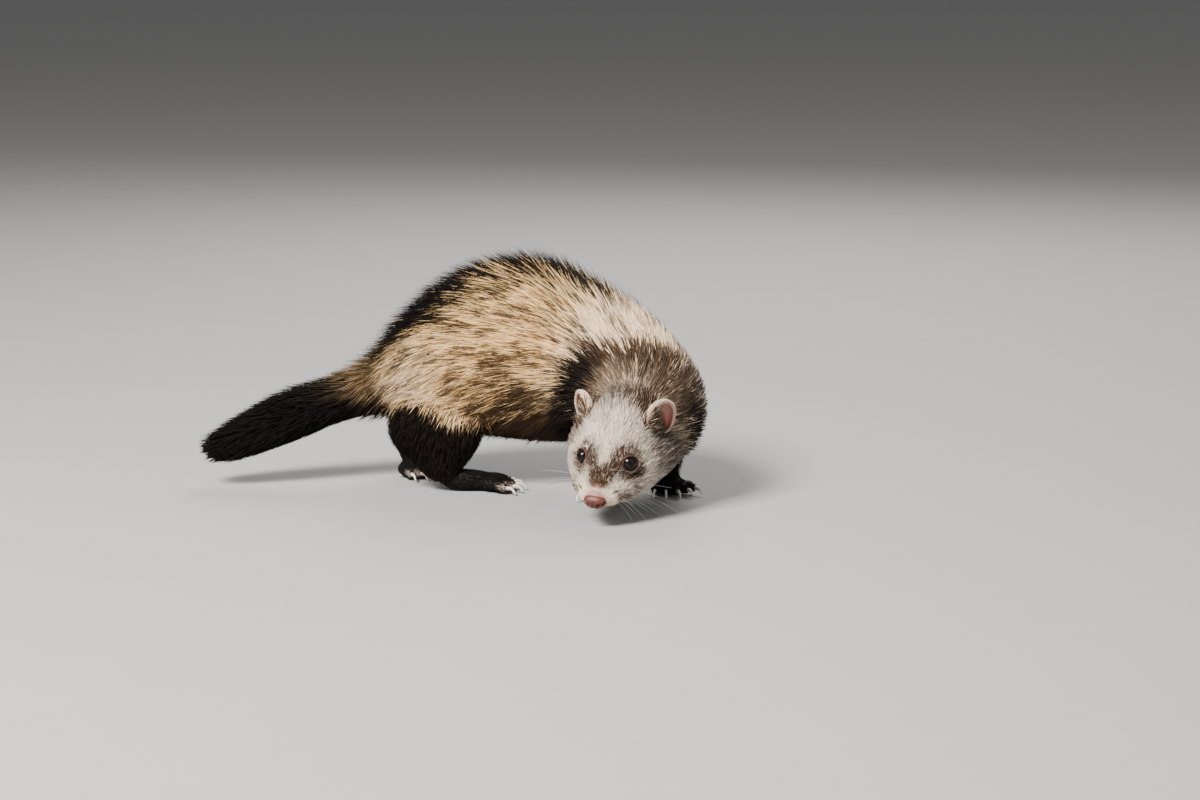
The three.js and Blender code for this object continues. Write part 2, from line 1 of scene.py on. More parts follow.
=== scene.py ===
"""Dresses a packed ferret: one skin, eyes, nose, claws, a coat of tufts, whiskers and a plain studio.

Sizes are millimetres, in the coordinates that the solids are drawn in. Every mesh is made in metres, in the
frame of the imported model: +Z is up, +X runs from the tail to the shoulders, and the head looks towards -Y.
"""

import math

import bmesh
import bpy
import numpy as np
from mathutils import Matrix, Vector
from mathutils.bvhtree import BVHTree
from mathutils.kdtree import KDTree


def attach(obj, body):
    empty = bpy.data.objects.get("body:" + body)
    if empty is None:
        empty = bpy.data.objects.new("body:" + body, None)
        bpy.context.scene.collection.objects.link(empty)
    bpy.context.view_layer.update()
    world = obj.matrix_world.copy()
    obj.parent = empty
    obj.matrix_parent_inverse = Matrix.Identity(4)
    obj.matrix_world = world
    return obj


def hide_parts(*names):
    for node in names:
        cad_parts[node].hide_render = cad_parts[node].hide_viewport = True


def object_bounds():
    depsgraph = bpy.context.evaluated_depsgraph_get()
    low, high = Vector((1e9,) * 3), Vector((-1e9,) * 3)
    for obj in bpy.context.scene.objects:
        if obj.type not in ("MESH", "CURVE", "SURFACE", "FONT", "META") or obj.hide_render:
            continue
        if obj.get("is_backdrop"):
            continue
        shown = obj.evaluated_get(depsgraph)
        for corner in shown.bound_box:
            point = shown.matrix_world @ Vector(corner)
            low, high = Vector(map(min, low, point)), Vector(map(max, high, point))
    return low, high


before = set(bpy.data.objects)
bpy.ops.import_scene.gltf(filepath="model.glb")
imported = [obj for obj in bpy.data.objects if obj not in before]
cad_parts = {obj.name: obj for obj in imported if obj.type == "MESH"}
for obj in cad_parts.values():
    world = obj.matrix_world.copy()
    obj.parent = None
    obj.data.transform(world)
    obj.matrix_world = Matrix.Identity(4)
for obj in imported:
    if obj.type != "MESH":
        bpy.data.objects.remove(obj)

CAD_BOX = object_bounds()

bl_info = {
    "name": "Ferret",
    "version": (1, 0, 0),
    "blender": (4, 5, 0),
    "location": "View3D > Sidebar > Ferret",
    "description": "Builds the skin, coat and finish of a life-size ferret around its solids",
    "category": "Object",
}

MM = 0.001
FOOTPRINT = np.array((26.0, 43.0, 0.0))  # from the coordinates of the sizes below to those of the frame
UP = np.array((0.0, 0.0, 1.0))
BODY = "root"

# Spine, from the tip of the tail to the nape: the middle of each section, then its half width, rise and drop
SPINE = [
    ((-169, -12, 20), (3, 3, 3)),
    ((-161, -11, 22.5), (9.5, 9.5, 9.5)),
    ((-147, -8, 28.5), (12.5, 12.5, 12.5)),
    ((-122, -3, 39.5), (14.5, 15, 15)),
    ((-100, 2, 47), (13.5, 13.8, 13.8)),
    ((-76, 7, 55), (15, 15, 16)),
    ((-61, 8, 61), (25, 19, 24)),
    ((-42, 6, 68), (35, 32, 36)),
    ((-15, 3, 74), (38, 47.5, 46)),
    ((15, -3, 76), (38, 55, 50)),
    ((44, -9, 74), (37, 46.5, 49)),
    ((66, -21, 68.5), (35, 39.5, 42)),
    ((80, -38, 60), (33.5, 37.5, 37)),
    ((86.5, -57, 53), (31.5, 33.5, 31)),
    ((84, -77, 48), (25, 28, 26)),
    ((73, -91, 44), (9, 12, 12)),
]
SPANS = len(SPINE) - 1  # a share along the spine times this is a section number
# Depth of the coat by section: the skin lies that far inside the outline
COAT_DEPTH = ((0, 5.0), (4.6, 5.0), (5.6, 6.5), (11.8, 6.5), (12.8, 4.5), (15, 4.5))
TALLEST_TIP = 15.0  # mm that a hair's tip may stand over the skin
BARE_BELLY = 2.5  # radians from the ridge of the back: past it the coat is thin

# Legs, from the body down: the middle of each section, then its half size across the body and along it
LEGS = {
    "hind_right": [
        ((-40, -12, 58), (11, 18)),
        ((-37, -20, 45), (13, 29)),
        ((-34, -24.5, 30), (13, 27)),
        ((-33, -26, 16), (9.5, 15)),
        ((-33, -26, 6), (7.5, 8.5)),
    ],
    "hind_left": [
        ((-42, 20, 64), (14, 20)),
        ((-45, 29, 50), (14.5, 22)),
        ((-52, 30, 37), (11, 15)),
        ((-58, 28, 28), (7.5, 9)),
        ((-57, 25, 21), (6, 6.5)),
    ],
    "fore_right": [
        ((64, -36, 54), (11, 13)),
        ((58, -42, 38), (11, 13)),
        ((56, -43, 22), (8.5, 9.5)),
        ((58, -42, 10), (7, 7.5)),
    ],
    "fore_left": [
        ((92, -30, 52), (11, 14)),
        ((97, -26, 38), (11, 13)),
        ((97, -25, 23), (8.5, 9.5)),
        ((97, -29, 10), (7, 7.5)),
    ],
}
LEG_COAT = (6.5, 1.2)  # depth of the coat at the top of a leg and at the foot

# Feet: where the leg meets them, the middle of the roots of the toes, degrees from +X to +Y, and toe length
FEET = {
    "hind_right": ((-33, -26, 7), (-3, -27, 5.4), -4, 12.5),
    "hind_left": ((-57, 24, 24), (-52, 13, 5.4), -32, 11.5),
    "fore_right": ((58, -42, 11), (59, -48, 5.4), -88, 11),
    "fore_left": ((97, -28, 11), (98, -36, 5.4), -72, 11.5),
}
PAW_CHART = 90  # mm that the chart of one foot is long
TOES = 5
TOE_FAN = 14  # degrees between toes
TOE_SPACING = 3.9
TOE_RADIUS = 2.55
TOE_LINE = (4.6, 4.7, 2.7)  # heights of root, knuckle and tip
TOE_REACH = (0.7, 0.95, 1.06, 1, 0.8)  # shares of the toe length
PAD = (8.6, 9.2, 4.9)
INSTEP = (6.6, 5.9, 5.4)
CLAW_LENGTH = 7.5
CLAW_BACK = 1.4  # how far the root of a claw lies behind the tip of its toe
CLAW_HEIGHTS = (3.7, 4.0, 0.9)

# Head, in its own frame: x forward, y to the left of the animal, z up, from the point midway between the eyes
HEAD_AT = (61.6, -112, 35.4)
HEAD_TURN = (-20, -32, -6)  # yaw from -Y towards +X, pitch and roll, in degrees
SKULL_BACK = (-27, 0, -8)
SKULL_FRONT = (9, 0, -10)
EYE_AT = (0.2, 12.6, -0.5)
EYE_LOOK = (0.62, 0.58, 0.46)
EYE_RADIUS = 4.3
LID_RADIUS = 4.4
LID_THICKNESS = 0.56
LID_OUT = 1.75
EAR_AT = {1: (-30, 22.5, 7), -1: (-30, -22.5, 5)}  # the left ear and the right, which is laid a little lower
EAR_HALF = (9.4, 11.0, 5.2)  # wide, tall, deep
EAR_WALL = 1.7
EAR_LOOK = (0.6, 0.76, 0.12)
EAR_LEAN = 16  # degrees
NOSE_AT = (24.6, 0, -9)
NOSE_HALF = (3.7, 6.3, 4.0)
MOUTH = ((25, -14.4), (21, -15), (15, -15.6), (8, -16.8), (2, -18.6), (-3, -20.8))  # x and z
# How far the skin of the head lies inside the outline, by x
HEAD_COAT = ((-34, 3.6), (-18, 3.2), (-6, 2.0), (4, 1.2), (14, 0.8), (24, 0.4))
# The rear edge of the dark collar, by the angle from the ridge of the back: angles, then section numbers
COLLAR_ANGLES = (-3.1, -1.6, -0.39, 0.39, 0.98, 1.57, 2.3, 3.1)
COLLAR_SECTIONS = (12.9, 13.3, 13.35, 13.0, 12.0, 11.3, 10.9, 10.8)
# Patches of more or less dark hair: how much, then section and spread, then angle from the ridge and spread
PATCHES = (
    (0.30, 7.8, 0.8, 0.74, 0.42),
    (-0.28, 6.9, 0.8, 1.55, 0.45),
    (0.45, 9.4, 0.8, 1.85, 0.35),
)
# Creases of the face: x and z of a few points, then depth and half width
FOLDS = (
    (((6.5, -3.5), (2.5, -7.2), (-3.5, -7.4), (-8, -4.5)), 0.9, 0.8),
    (((9.5, -5.5), (4, -10.6), (-4, -10.8), (-10, -8)), 0.9, 1.0),
    (((5.2, -0.6), (9, -4), (14.5, -6.5)), 0.7, 0.9),
    (((17, -5.8), (11, -7.6), (6, -10.5), (4, -15)), 0.5, 1.2),
)
# Parts that a point of the skin can belong to
REGIONS = ("trunk", "head", "ear", "hind_right", "hind_left", "fore_right", "fore_left", "paw")
PATCH = 0.003  # side of a tuft's place on the chart
MOST_TRIANGLES = 190000  # in one piece of the coat
POINTS_PER_AREA = 12  # places for a root, for each square millimetre of skin
EAR_TUFTS = 1000  # on each ear
WHISKER_ROWS = 3
WHISKER_COLUMNS = 4
WHISKER_WIDTH = 0.11
ROOT_DEPTH = 0.5  # how far the root of a tuft lies under the skin
# Heights over the floor that hair, soles and whiskers don't go under
LOWEST_HAIR = 0.15
LOWEST_SOLE = 0.35
LOWEST_WHISKER = 0.4

# Colours that no user would change
# Dark rims of the lids, and painted shade along the mouth, in the inner corners of the eyes and deep in the
# ears
DARK_MARK_AND_SHADE_COLOUR = (0.035, 0.018, 0.016, 1)
# Painted shade in the nostrils and the groove of the nose
NOSTRIL_SHADE = (0.06, 0.02, 0.018, 1)
PUPIL = (0.004, 0.003, 0.003, 1)

# Camera, in the frame
CAMERA_AIM = (84, 43, 48)
CAMERA_DISTANCE = 1600
CAMERA_RISE = 10  # degrees
CAMERA_LENS = 82.56

# Studio, in metres and watts: each lamp's name, place, side, power and colour
LAMPS = (
    ("key", (-0.75, -0.95, 1.3), 0.6, 98, (1.0, 0.96, 0.9)),
    ("fill", (1.3, -1.0, 0.7), 1.2, 7, (0.9, 0.95, 1.0)),
    ("rim", (0.3, 1.2, 1.1), 0.9, 20, (1.0, 0.98, 0.95)),
)
LAMPS_AIM = (0, 0, 0.05)
SKY = (0.8, 0.8, 0.8, 1)
SKY_STRENGTH = 0.29
FLOOR_REACH = 30  # from the middle of the floor to its sides

rng = np.random.default_rng(11)


# Numbers

def unit(v):
    v = np.asarray(v, float)
    return v / np.maximum(np.linalg.norm(v, axis=-1, keepdims=True), 1e-9)


def ramp(x, low, high):
    """0 below low and 1 above high, smooth between; high may be under low."""
    t = np.clip((np.asarray(x, float) - low) / (high - low), 0, 1)
    return t * t * (3 - 2 * t)


def hill(x, middle, width):
    return np.exp(-(((np.asarray(x, float) - middle) / width) ** 2))


def cell_number(c):
    """One whole number for each cell of a grid, well spread."""
    return (c[:, 0] * 73856093) ^ (c[:, 1] * 19349663) ^ (c[:, 2] * 83492791)


def ripple(points, size, seed):
    """Smooth noise from -1 to 1 over points, with hills about size apart."""
    q = np.asarray(points, float) / size + seed * 17.3
    cell = np.floor(q).astype(np.int64)
    w = q - cell
    w = w * w * (3 - 2 * w)
    total = np.zeros(len(q))
    for corner in range(8):
        step = np.array([corner & 1, corner >> 1 & 1, corner >> 2 & 1])
        h = cell_number(cell + step)
        h = (h ^ (h >> 13)) * 1274126177
        value = ((h ^ (h >> 16)) & 0xFFFF) / 32767.5 - 1
        total += value * np.prod(np.where(step == 1, w, 1 - w), axis=1)
    return total


def spline(points, t):
    """The Catmull-Rom curve through points, at shares t of its spans."""
    p = np.asarray(points, float)
    p = np.vstack([2 * p[0] - p[1], p, 2 * p[-1] - p[-2]])
    f = np.clip(t, 0, 1) * (len(p) - 3)
    i = np.minimum(f.astype(int), len(p) - 4)
    w = (f - i)[:, None]
    a, b, c, d = p[i], p[i + 1], p[i + 2], p[i + 3]
    v0, v1 = (c - a) / 2, (d - b) / 2
    return (2 * b - 2 * c + v0 + v1) * w**3 + (3 * c - 3 * b - 2 * v0 - v1) * w**2 + v0 * w + b


class Path:
    """Sections along a curve, each with its frame and half sizes."""

    def __init__(self, stations, upward=UP):
        self.middles = np.array([at for at, _ in stations], float)
        self.halves = np.array([(h[0], h[1], h[-1]) for _, h in stations], float)
        self.upward = np.asarray(upward, float)

    def at(self, t):
        t = np.asarray(t, float)
        step = 1e-4
        along = unit(spline(self.middles, t + step) - spline(self.middles, t - step))
        side = unit(np.cross(along, self.upward))
        return spline(self.middles, t), along, side, np.cross(side, along), spline(self.halves, t)

    def point(self, t, angle, lift=0.0, dome=1.0):
        middle, _, side, up, half = self.at(t)
        tall = np.where(np.cos(angle) > 0, half[:, 1], half[:, 2])
        across = np.sin(angle) * np.maximum(half[:, 0] + lift, 0.6) * dome
        rise = np.cos(angle) * np.maximum(tall + lift, 0.6) * dome
        return middle + side * across[:, None] + up * rise[:, None]


SPINE_PATH = Path(SPINE)
LEG_PATHS = {name: Path(stations, (-1, 0, 0)) for name, stations in LEGS.items()}


def head_matrix():
    yaw, pitch, roll = (math.radians(a) for a in HEAD_TURN)
    forward = Vector((math.sin(yaw) * math.cos(pitch), -math.cos(yaw) * math.cos(pitch), math.sin(pitch)))
    left = Vector((math.cos(yaw), math.sin(yaw), 0))
    left.rotate(Matrix.Rotation(roll, 3, forward))
    return np.array((forward, left, forward.cross(left))).T


HEAD = head_matrix()


def from_head(points):
    return np.asarray(points, float) @ HEAD.T + np.array(HEAD_AT)


def to_head(points):
    return (np.asarray(points, float) - np.array(HEAD_AT)) @ HEAD


def in_frame(points):
    """Millimetres to metres in the frame."""
    return (points + FOOTPRINT) * MM


def mirrored(v, s):
    return np.array((v[0], v[1] * s, v[2]), float)


# The flesh of the head, as a field that is negative inside

def ellipsoid(middle, half):
    middle, half = np.array(middle, float), np.array(half, float)

    def field(p):
        q = p - middle
        near = np.linalg.norm(q / half, axis=1)
        steep = np.linalg.norm(q / half / half, axis=1)
        return near * (near - 1) / np.maximum(steep, 1e-6)

    return field


def taper(a, b, ra, rb):
    a, b = np.array(a, float), np.array(b, float)

    def field(p):
        t = np.clip((p - a) @ (b - a) / ((b - a) @ (b - a)), 0, 1)
        return np.linalg.norm(p - a - t[:, None] * (b - a), axis=1) - (ra + (rb - ra) * t)

    return field


def flesh():
    parts = [
        (ellipsoid((-28, 0, -3.5), (24, 23, 20.5)), 1),
        (taper((-10, 0, -3.5), (12, 0, -6.2), 13, 8), 6),
        (taper((-14, 0, -20), (14, 0, -14.8), 12, 5.5), 6),
        (ellipsoid((21.5, 0, -8.6), (4.8, 6, 4.8)), 3),
    ]
    for s in (1, -1):
        parts += [
            (ellipsoid((-17, s * 15, -14), (19, 13.5, 15)), 7),
            (ellipsoid((-28, s * 18, -17), (15, 13.5, 14)), 5),
            (ellipsoid((0, s * 10.5, -14.5), (14, 10, 9)), 6),
            (ellipsoid((13, s * 6, -10.5), (9.5, 7.4, 6.4)), 4),
            (ellipsoid((-3, s * 8.8, -0.6), (9.5, 7, 7.6)), 5),
            (ellipsoid((-0.4, s * 12.1, -0.9), (5.2, 5, 5.2)), 2.5),
        ]
    return parts


FLESH = flesh()


def head_field(p):
    total = np.full(len(p), 1e3)
    for field, soft in FLESH:
        d = field(p)
        h = np.maximum(soft - np.abs(total - d), 0) / soft
        total = np.minimum(total, d) - h * h * soft / 4
    return total


def reach(start, direction, most=45.0):
    """How far it is from each start along a direction to the outline of the head."""
    near, far = np.zeros(len(start)), np.full(len(start), most)
    for _ in range(22):
        half = (near + far) / 2
        inside = head_field(start + direction * half[:, None]) < 0
        near, far = np.where(inside, half, near), np.where(inside, far, half)
    return near


def on_head(x, z, s=1):
    """A point on the outline of the head, straight to the side of its middle plane."""
    start = np.stack([x, np.zeros(len(x)), z], 1).astype(float)
    direction = np.tile((0.0, float(s), 0.0), (len(x), 1))
    return start + direction * reach(start, direction, 40)[:, None]


def away_from_line(points, line):
    """The distance from each point to a smooth line through a few points."""
    places = spline(line, np.linspace(0, 1, 12 * len(line)))
    gap = np.full(len(points), 1e9)
    for place in places:
        gap = np.minimum(gap, ((points - place) ** 2).sum(1))
    return np.sqrt(gap)


# Meshes

def collection():
    found = bpy.data.collections.get("ferret")
    if found is None:
        found = bpy.data.collections.new("ferret")
        bpy.context.scene.collection.children.link(found)
    return found


def piece(name, mesh, material=None):
    if not len(mesh.polygons):
        raise RuntimeError(f"{name} has no faces")
    made = bpy.data.objects.new(name, mesh)
    collection().objects.link(made)
    if material is not None:
        mesh.materials.clear()
        mesh.materials.append(material)
        mesh.polygons.foreach_set("material_index", np.zeros(len(mesh.polygons), np.int32))
    return made


def mesh_of(name, bm, move=None):
    """A mesh from a bmesh, with every vertex moved by a function from millimetres to millimetres."""
    mesh = bpy.data.meshes.new(name)
    bmesh.ops.recalc_face_normals(bm, faces=bm.faces)
    bm.to_mesh(mesh)
    bm.free()
    if move is not None:
        set_places(mesh, move(places_of(mesh)))
    mesh.shade_smooth()
    return mesh


def places_of(mesh):
    places = np.empty(len(mesh.vertices) * 3)
    mesh.vertices.foreach_get("co", places)
    return places.reshape(-1, 3)


def set_places(mesh, places):
    mesh.vertices.foreach_set("co", np.ascontiguousarray(places, float).ravel())
    mesh.update()


def ball(segments, rings):
    bm = bmesh.new()
    bmesh.ops.create_uvsphere(bm, u_segments=segments, v_segments=rings, radius=1)
    return bm


def swept(name, path, segments, rings, blunt=8, lift=None):
    """A ball stretched over the sections of a path, with the share along it and the angle of each vertex."""
    mesh = mesh_of(name, ball(segments, rings))
    v = places_of(mesh)
    t = 0.5 + np.arcsin(np.clip(v[:, 2], -1, 1)) / math.pi
    angle = np.arctan2(-v[:, 0], v[:, 1])
    dome = np.sqrt(np.maximum(1 - np.abs(2 * t - 1) ** blunt, 1e-4))
    places = path.point(t, angle, 0.0 if lift is None else lift(t, angle), dome)
    set_places(mesh, places)
    return mesh, t, angle


def finger(name, points, radii):
    path = Path([(p, (r, r)) for p, r in zip(points, radii)])
    return swept(name, path, 14, 18, 3)[0]


def finished(obj, name):
    """The mesh of an object with its modifiers worked in; the object goes."""
    graph = bpy.context.evaluated_depsgraph_get()
    mesh = bpy.data.meshes.new_from_object(obj.evaluated_get(graph))
    mesh.name = name
    old = obj.data
    bpy.data.objects.remove(obj)
    bpy.data.meshes.remove(old)
    return mesh


def joined(name, meshes):
    bm = bmesh.new()
    for mesh in meshes:
        bm.from_mesh(mesh)
    made = bpy.data.meshes.new(name)
    bm.to_mesh(made)
    bm.free()
    return made


def blended(name, meshes, voxel, smoothing):
    """Closed meshes grown into one and smoothed where they meet; they are in millimetres."""
    obj = piece(name, joined(name, meshes))
    remesh = obj.modifiers.new("grow together", "REMESH")
    remesh.mode = "VOXEL"
    remesh.voxel_size = voxel
    smooth = obj.modifiers.new("soften", "SMOOTH")
    smooth.factor = 0.5
    smooth.iterations = smoothing
    return finished(obj, name)


def united(name, first, others):
    """One closed mesh out of several that cross."""
    obj = piece(name, first)
    helpers = [piece(f"{name}_{i}", mesh) for i, mesh in enumerate(others)]
    for helper in helpers:
        join = obj.modifiers.new("join", "BOOLEAN")
        join.operation = "UNION"
        join.solver = "MANIFOLD"
        join.object = helper
    mesh = finished(obj, name)
    for helper in helpers:
        bpy.data.objects.remove(helper)
    return mesh


def mask(mesh, name, values):
    layer = mesh.attributes.get(name) or mesh.attributes.new(name, "FLOAT", "POINT")
    layer.data.foreach_set("value", np.asarray(values, np.float32))


def kept_in_place(obj, replaced=()):
    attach(obj, BODY)
    if replaced:
        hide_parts(*replaced)


# Shader nodes

def node(tree, kind, **values):
    made = tree.nodes.new(kind)
    for key, value in values.items():
        if hasattr(made, key):
            setattr(made, key, value)
        else:
            made.inputs[key.replace("_", " ")].default_value = value
    return made


def read(tree, name):
    """The value of one of the mesh's own masks."""
    return node(tree, "ShaderNodeAttribute", attribute_name=name).outputs["Fac"]


def in_place(tree, texture):
    """Ties a texture to the object's own coordinates."""
    where = tree.nodes.new("ShaderNodeTexCoord")
    tree.links.new(where.outputs["Object"], texture.inputs["Vector"])
    return texture


def noise(tree, scale, detail):
    return in_place(tree, node(tree, "ShaderNodeTexNoise", Scale=scale, Detail=detail))


def mixed(tree, share, first, second, kind="MIX"):
    """A mix of two colours; each of the three is a socket to link or a constant."""
    made = tree.nodes.new("ShaderNodeMix")
    made.data_type = "RGBA"
    made.blend_type = kind
    for value, socket in ((share, made.inputs[0]), (first, made.inputs[6]), (second, made.inputs[7])):
        if isinstance(value, bpy.types.NodeSocket):
            tree.links.new(value, socket)
        else:
            socket.default_value = value
    return made.outputs[2]


def bumped(tree, shader, height, strength, distance):
    bump = node(tree, "ShaderNodeBump", Strength=strength, Distance=distance)
    tree.links.new(height, bump.inputs["Height"])
    tree.links.new(bump.outputs["Normal"], shader.inputs["Normal"])


def times(colour, factor=1):
    return (*(c * factor for c in colour), 1)


def fur_colour_group():
    """Turns the markings, a tuft's own tone and the place along the hair into a colour."""
    group = bpy.data.node_groups.get("Fur_colour")
    if group:
        return group
    group = bpy.data.node_groups.new("Fur_colour", "ShaderNodeTree")
    colours = bpy.context.scene.ferret_colours
    for label in ("White", "Cream", "Sable", "Dark"):
        socket = group.interface.new_socket(name=label, in_out="INPUT", socket_type="NodeSocketColor")
        socket.default_value = times(getattr(colours, label.lower()))
    group.interface.new_socket(name="Color", in_out="OUTPUT", socket_type="NodeSocketColor")
    inputs = group.nodes.new("NodeGroupInput").outputs
    outputs = group.nodes.new("NodeGroupOutput").inputs
    link = group.links.new
    tipped = node(group, "ShaderNodeMath", operation="MULTIPLY_ADD", use_clamp=True)
    tipped.inputs[1].default_value = 0.6
    link(read(group, "tip"), tipped.inputs[0])
    link(read(group, "black"), tipped.inputs[2])
    pale = mixed(group, read(group, "warm"), inputs["White"], inputs["Cream"])
    brown = mixed(group, tipped.outputs[0], inputs["Sable"], inputs["Dark"])
    coat = mixed(group, read(group, "sable"), pale, brown)
    uneven = node(group, "ShaderNodeMapRange", To_Min=0.88, To_Max=1.12)
    link(noise(group, 95.0, 3.0).outputs["Fac"], uneven.inputs["Value"])
    shade = node(group, "ShaderNodeMath", operation="MULTIPLY")
    link(uneven.outputs["Result"], shade.inputs[0])
    link(read(group, "tone"), shade.inputs[1])
    toned = node(group, "ShaderNodeVectorMath", operation="SCALE")
    link(coat, toned.inputs[0])
    link(shade.outputs[0], toned.inputs["Scale"])
    link(toned.outputs[0], outputs["Color"])
    return group


def plain_material(name, roughness, specular):
    made = bpy.data.materials.new(name)
    made.use_nodes = True
    tree = made.node_tree
    shader = tree.nodes["Principled BSDF"]
    shader.inputs["Roughness"].default_value = roughness
    shader.inputs["Specular IOR Level"].default_value = specular
    return made, tree, shader


def fur_colour(tree):
    group = tree.nodes.new("ShaderNodeGroup")
    group.node_tree = fur_colour_group()
    return group.outputs["Color"]


def coat_material():
    found = bpy.data.materials.get("Coat")
    if found:
        return found
    made, tree, shader = plain_material("Coat", 0.65, 0.07)
    tree.links.new(fur_colour(tree), shader.inputs["Base Color"])
    return made


def skin_material():
    """Markings under the coat, bare pink skin where the masks say so, dark lid rims and blotches with painted
    shade along the mouth, in the eye corners and deep in the ears, and fine pores as bump.
    """
    made, tree, shader = plain_material("Skin", 0.6, 0.2)
    colours = bpy.context.scene.ferret_colours
    mottle = noise(tree, 700.0, 4.0)
    flush = mixed(tree, read(tree, "ruddy"), times(colours.skin), times(colours.ruddy))
    spots = mixed(tree, 0.35, flush, mottle.outputs["Color"], "MULTIPLY")
    # Dark lid rims and blotches, and painted shade along the mouth, in the eye corners and deep in the ears
    shaded = mixed(tree, read(tree, "dusk"), spots, DARK_MARK_AND_SHADE_COLOUR)
    colour = mixed(tree, read(tree, "bare"), fur_colour(tree), shaded)
    tree.links.new(colour, shader.inputs["Base Color"])
    bumped(tree, shader, mottle.outputs["Fac"], 0.35, 0.0004)
    return made


def nose_material():
    made, tree, shader = plain_material("Nose_leather", 0.36, 0.35)
    nose = bpy.context.scene.ferret_colours.nose
    cells = in_place(tree, node(tree, "ShaderNodeTexVoronoi", Scale=1900.0, feature="DISTANCE_TO_EDGE"))
    blush = mixed(tree, noise(tree, 260.0, 3.0).outputs["Fac"], times(nose), times(nose, 0.62))
    # Painted shade in the nostrils and the groove
    tree.links.new(mixed(tree, read(tree, "inside"), blush, NOSTRIL_SHADE), shader.inputs["Base Color"])
    bumped(tree, shader, cells.outputs["Distance"], 0.5, 0.00025)
    return made


def eye_material():
    made, tree, shader = plain_material("Eye", 0.03, 0.2)
    eye = bpy.context.scene.ferret_colours.eye
    fibres = mixed(tree, noise(tree, 900.0, 3.0).outputs["Fac"], times(eye), times(eye, 2.6))
    tree.links.new(mixed(tree, read(tree, "iris"), PUPIL, fibres), shader.inputs["Base Color"])
    return made


def claw_material():
    made, tree, shader = plain_material("Claw_horn", 0.3, 0.5)
    claw = bpy.context.scene.ferret_colours.claw
    horn = mixed(tree, read(tree, "tip"), times(claw, 0.55), times(claw))
    tree.links.new(horn, shader.inputs["Base Color"])
    bumped(tree, shader, noise(tree, 1500.0, 2.0).outputs["Fac"], 0.2, 0.0001)
    return made


def whisker_material():
    made, tree, shader = plain_material("Whisker", 0.35, 0.5)
    white = bpy.context.scene.ferret_colours.white
    hair = mixed(tree, read(tree, "tip"), times(white, 0.7), times(white))
    worn = mixed(tree, 0.3, hair, noise(tree, 900.0, 2.0).outputs["Color"], "MULTIPLY")
    tree.links.new(worn, shader.inputs["Base Color"])
    return made


def backdrop_material():
    """Pale matt paper, very slightly uneven."""
    made, tree, shader = plain_material("Backdrop", 0.7, 0.3)
    paper = bpy.context.scene.ferret_colours.floor
    tint = mixed(tree, noise(tree, 40.0, 5.0).outputs["Fac"], times(paper, 0.97), times(paper, 1.03))
    tree.links.new(tint, shader.inputs["Base Color"])
    return made


# The skin

def coat_depth(t, angle):
    sections, depths = zip(*COAT_DEPTH)
    depth = np.interp(np.asarray(t) * SPANS, sections, depths)
    return depth * (1 - 0.75 * ramp(np.abs(angle), BARE_BELLY - 0.5, BARE_BELLY + 0.3))


def eye_frame(s):
    look = unit(mirrored(EYE_LOOK, s))
    across = unit(np.cross(UP, look))
    return np.array((across, np.cross(look, across), look)).T


def ear_frame(s):
    look = unit(mirrored(EAR_LOOK, s))
    across = unit(np.cross(UP, look))
    lean = math.radians(-s * EAR_LEAN)
    up = np.cross(look, across)
    turned = across * math.cos(lean) + up * math.sin(lean)
    return np.array((turned, np.cross(look, turned), look)).T


def head_mesh():
    """The head from a ball: each vertex goes out from the axis of the skull to the flesh, less the coat."""
    mesh = mesh_of("head_form", ball(216, 190))
    v = places_of(mesh)
    v = np.stack([v[:, 2], v[:, 0], v[:, 1]], 1)
    back, front = np.array(SKULL_BACK, float), np.array(SKULL_FRONT, float)
    start = (back + front) / 2 + (front - back) / 2 * v[:, :1]
    far = start + v * reach(start, v)[:, None]
    xs, depths = zip(*HEAD_COAT)
    places = far - v * np.interp(far[:, 0], xs, depths)[:, None]
    places = with_face(places, v)
    t = 0.5 + np.arcsin(np.clip(v[:, 0], -1, 1)) / math.pi
    angle = np.arctan2(v[:, 1], v[:, 2])
    set_places(mesh, from_head(places))
    return mesh, t, angle


def with_face(places, outward):
    """Sinks the folds, the mouth and the sockets of the eyes into the head."""
    shift = np.zeros(len(places))
    for s in (1, -1):
        for line, depth, width in FOLDS:
            x, z = np.array(line, float).T
            shift -= depth * hill(away_from_line(places, on_head(x, z, s)), 0, width)
        x, z = np.array(MOUTH[1:], float).T
        gap = away_from_line(places, on_head(x, z, s))
        shift -= 0.75 * hill(gap, 0, 0.55) - 0.32 * hill(gap, 1.3, 0.7)
    philtrum = np.array(((27, 0, -11.5), (26, 0, -14), (23.5, 0, -15.2)), float)
    shift -= 0.5 * hill(away_from_line(places, philtrum), 0, 0.5)
    places = places + outward * shift[:, None]
    for s in (1, -1):
        middle, look = mirrored(EYE_AT, s), eye_frame(s)[:, 2]
        q = places - middle
        aside = np.linalg.norm(q - (q @ look)[:, None] * look, axis=1)
        sunk = ramp(aside, 4.9, 3.9) * (q @ look > 0)
        under = middle + unit(q) * 3.4
        places = places + (under - places) * sunk[:, None]
    return places


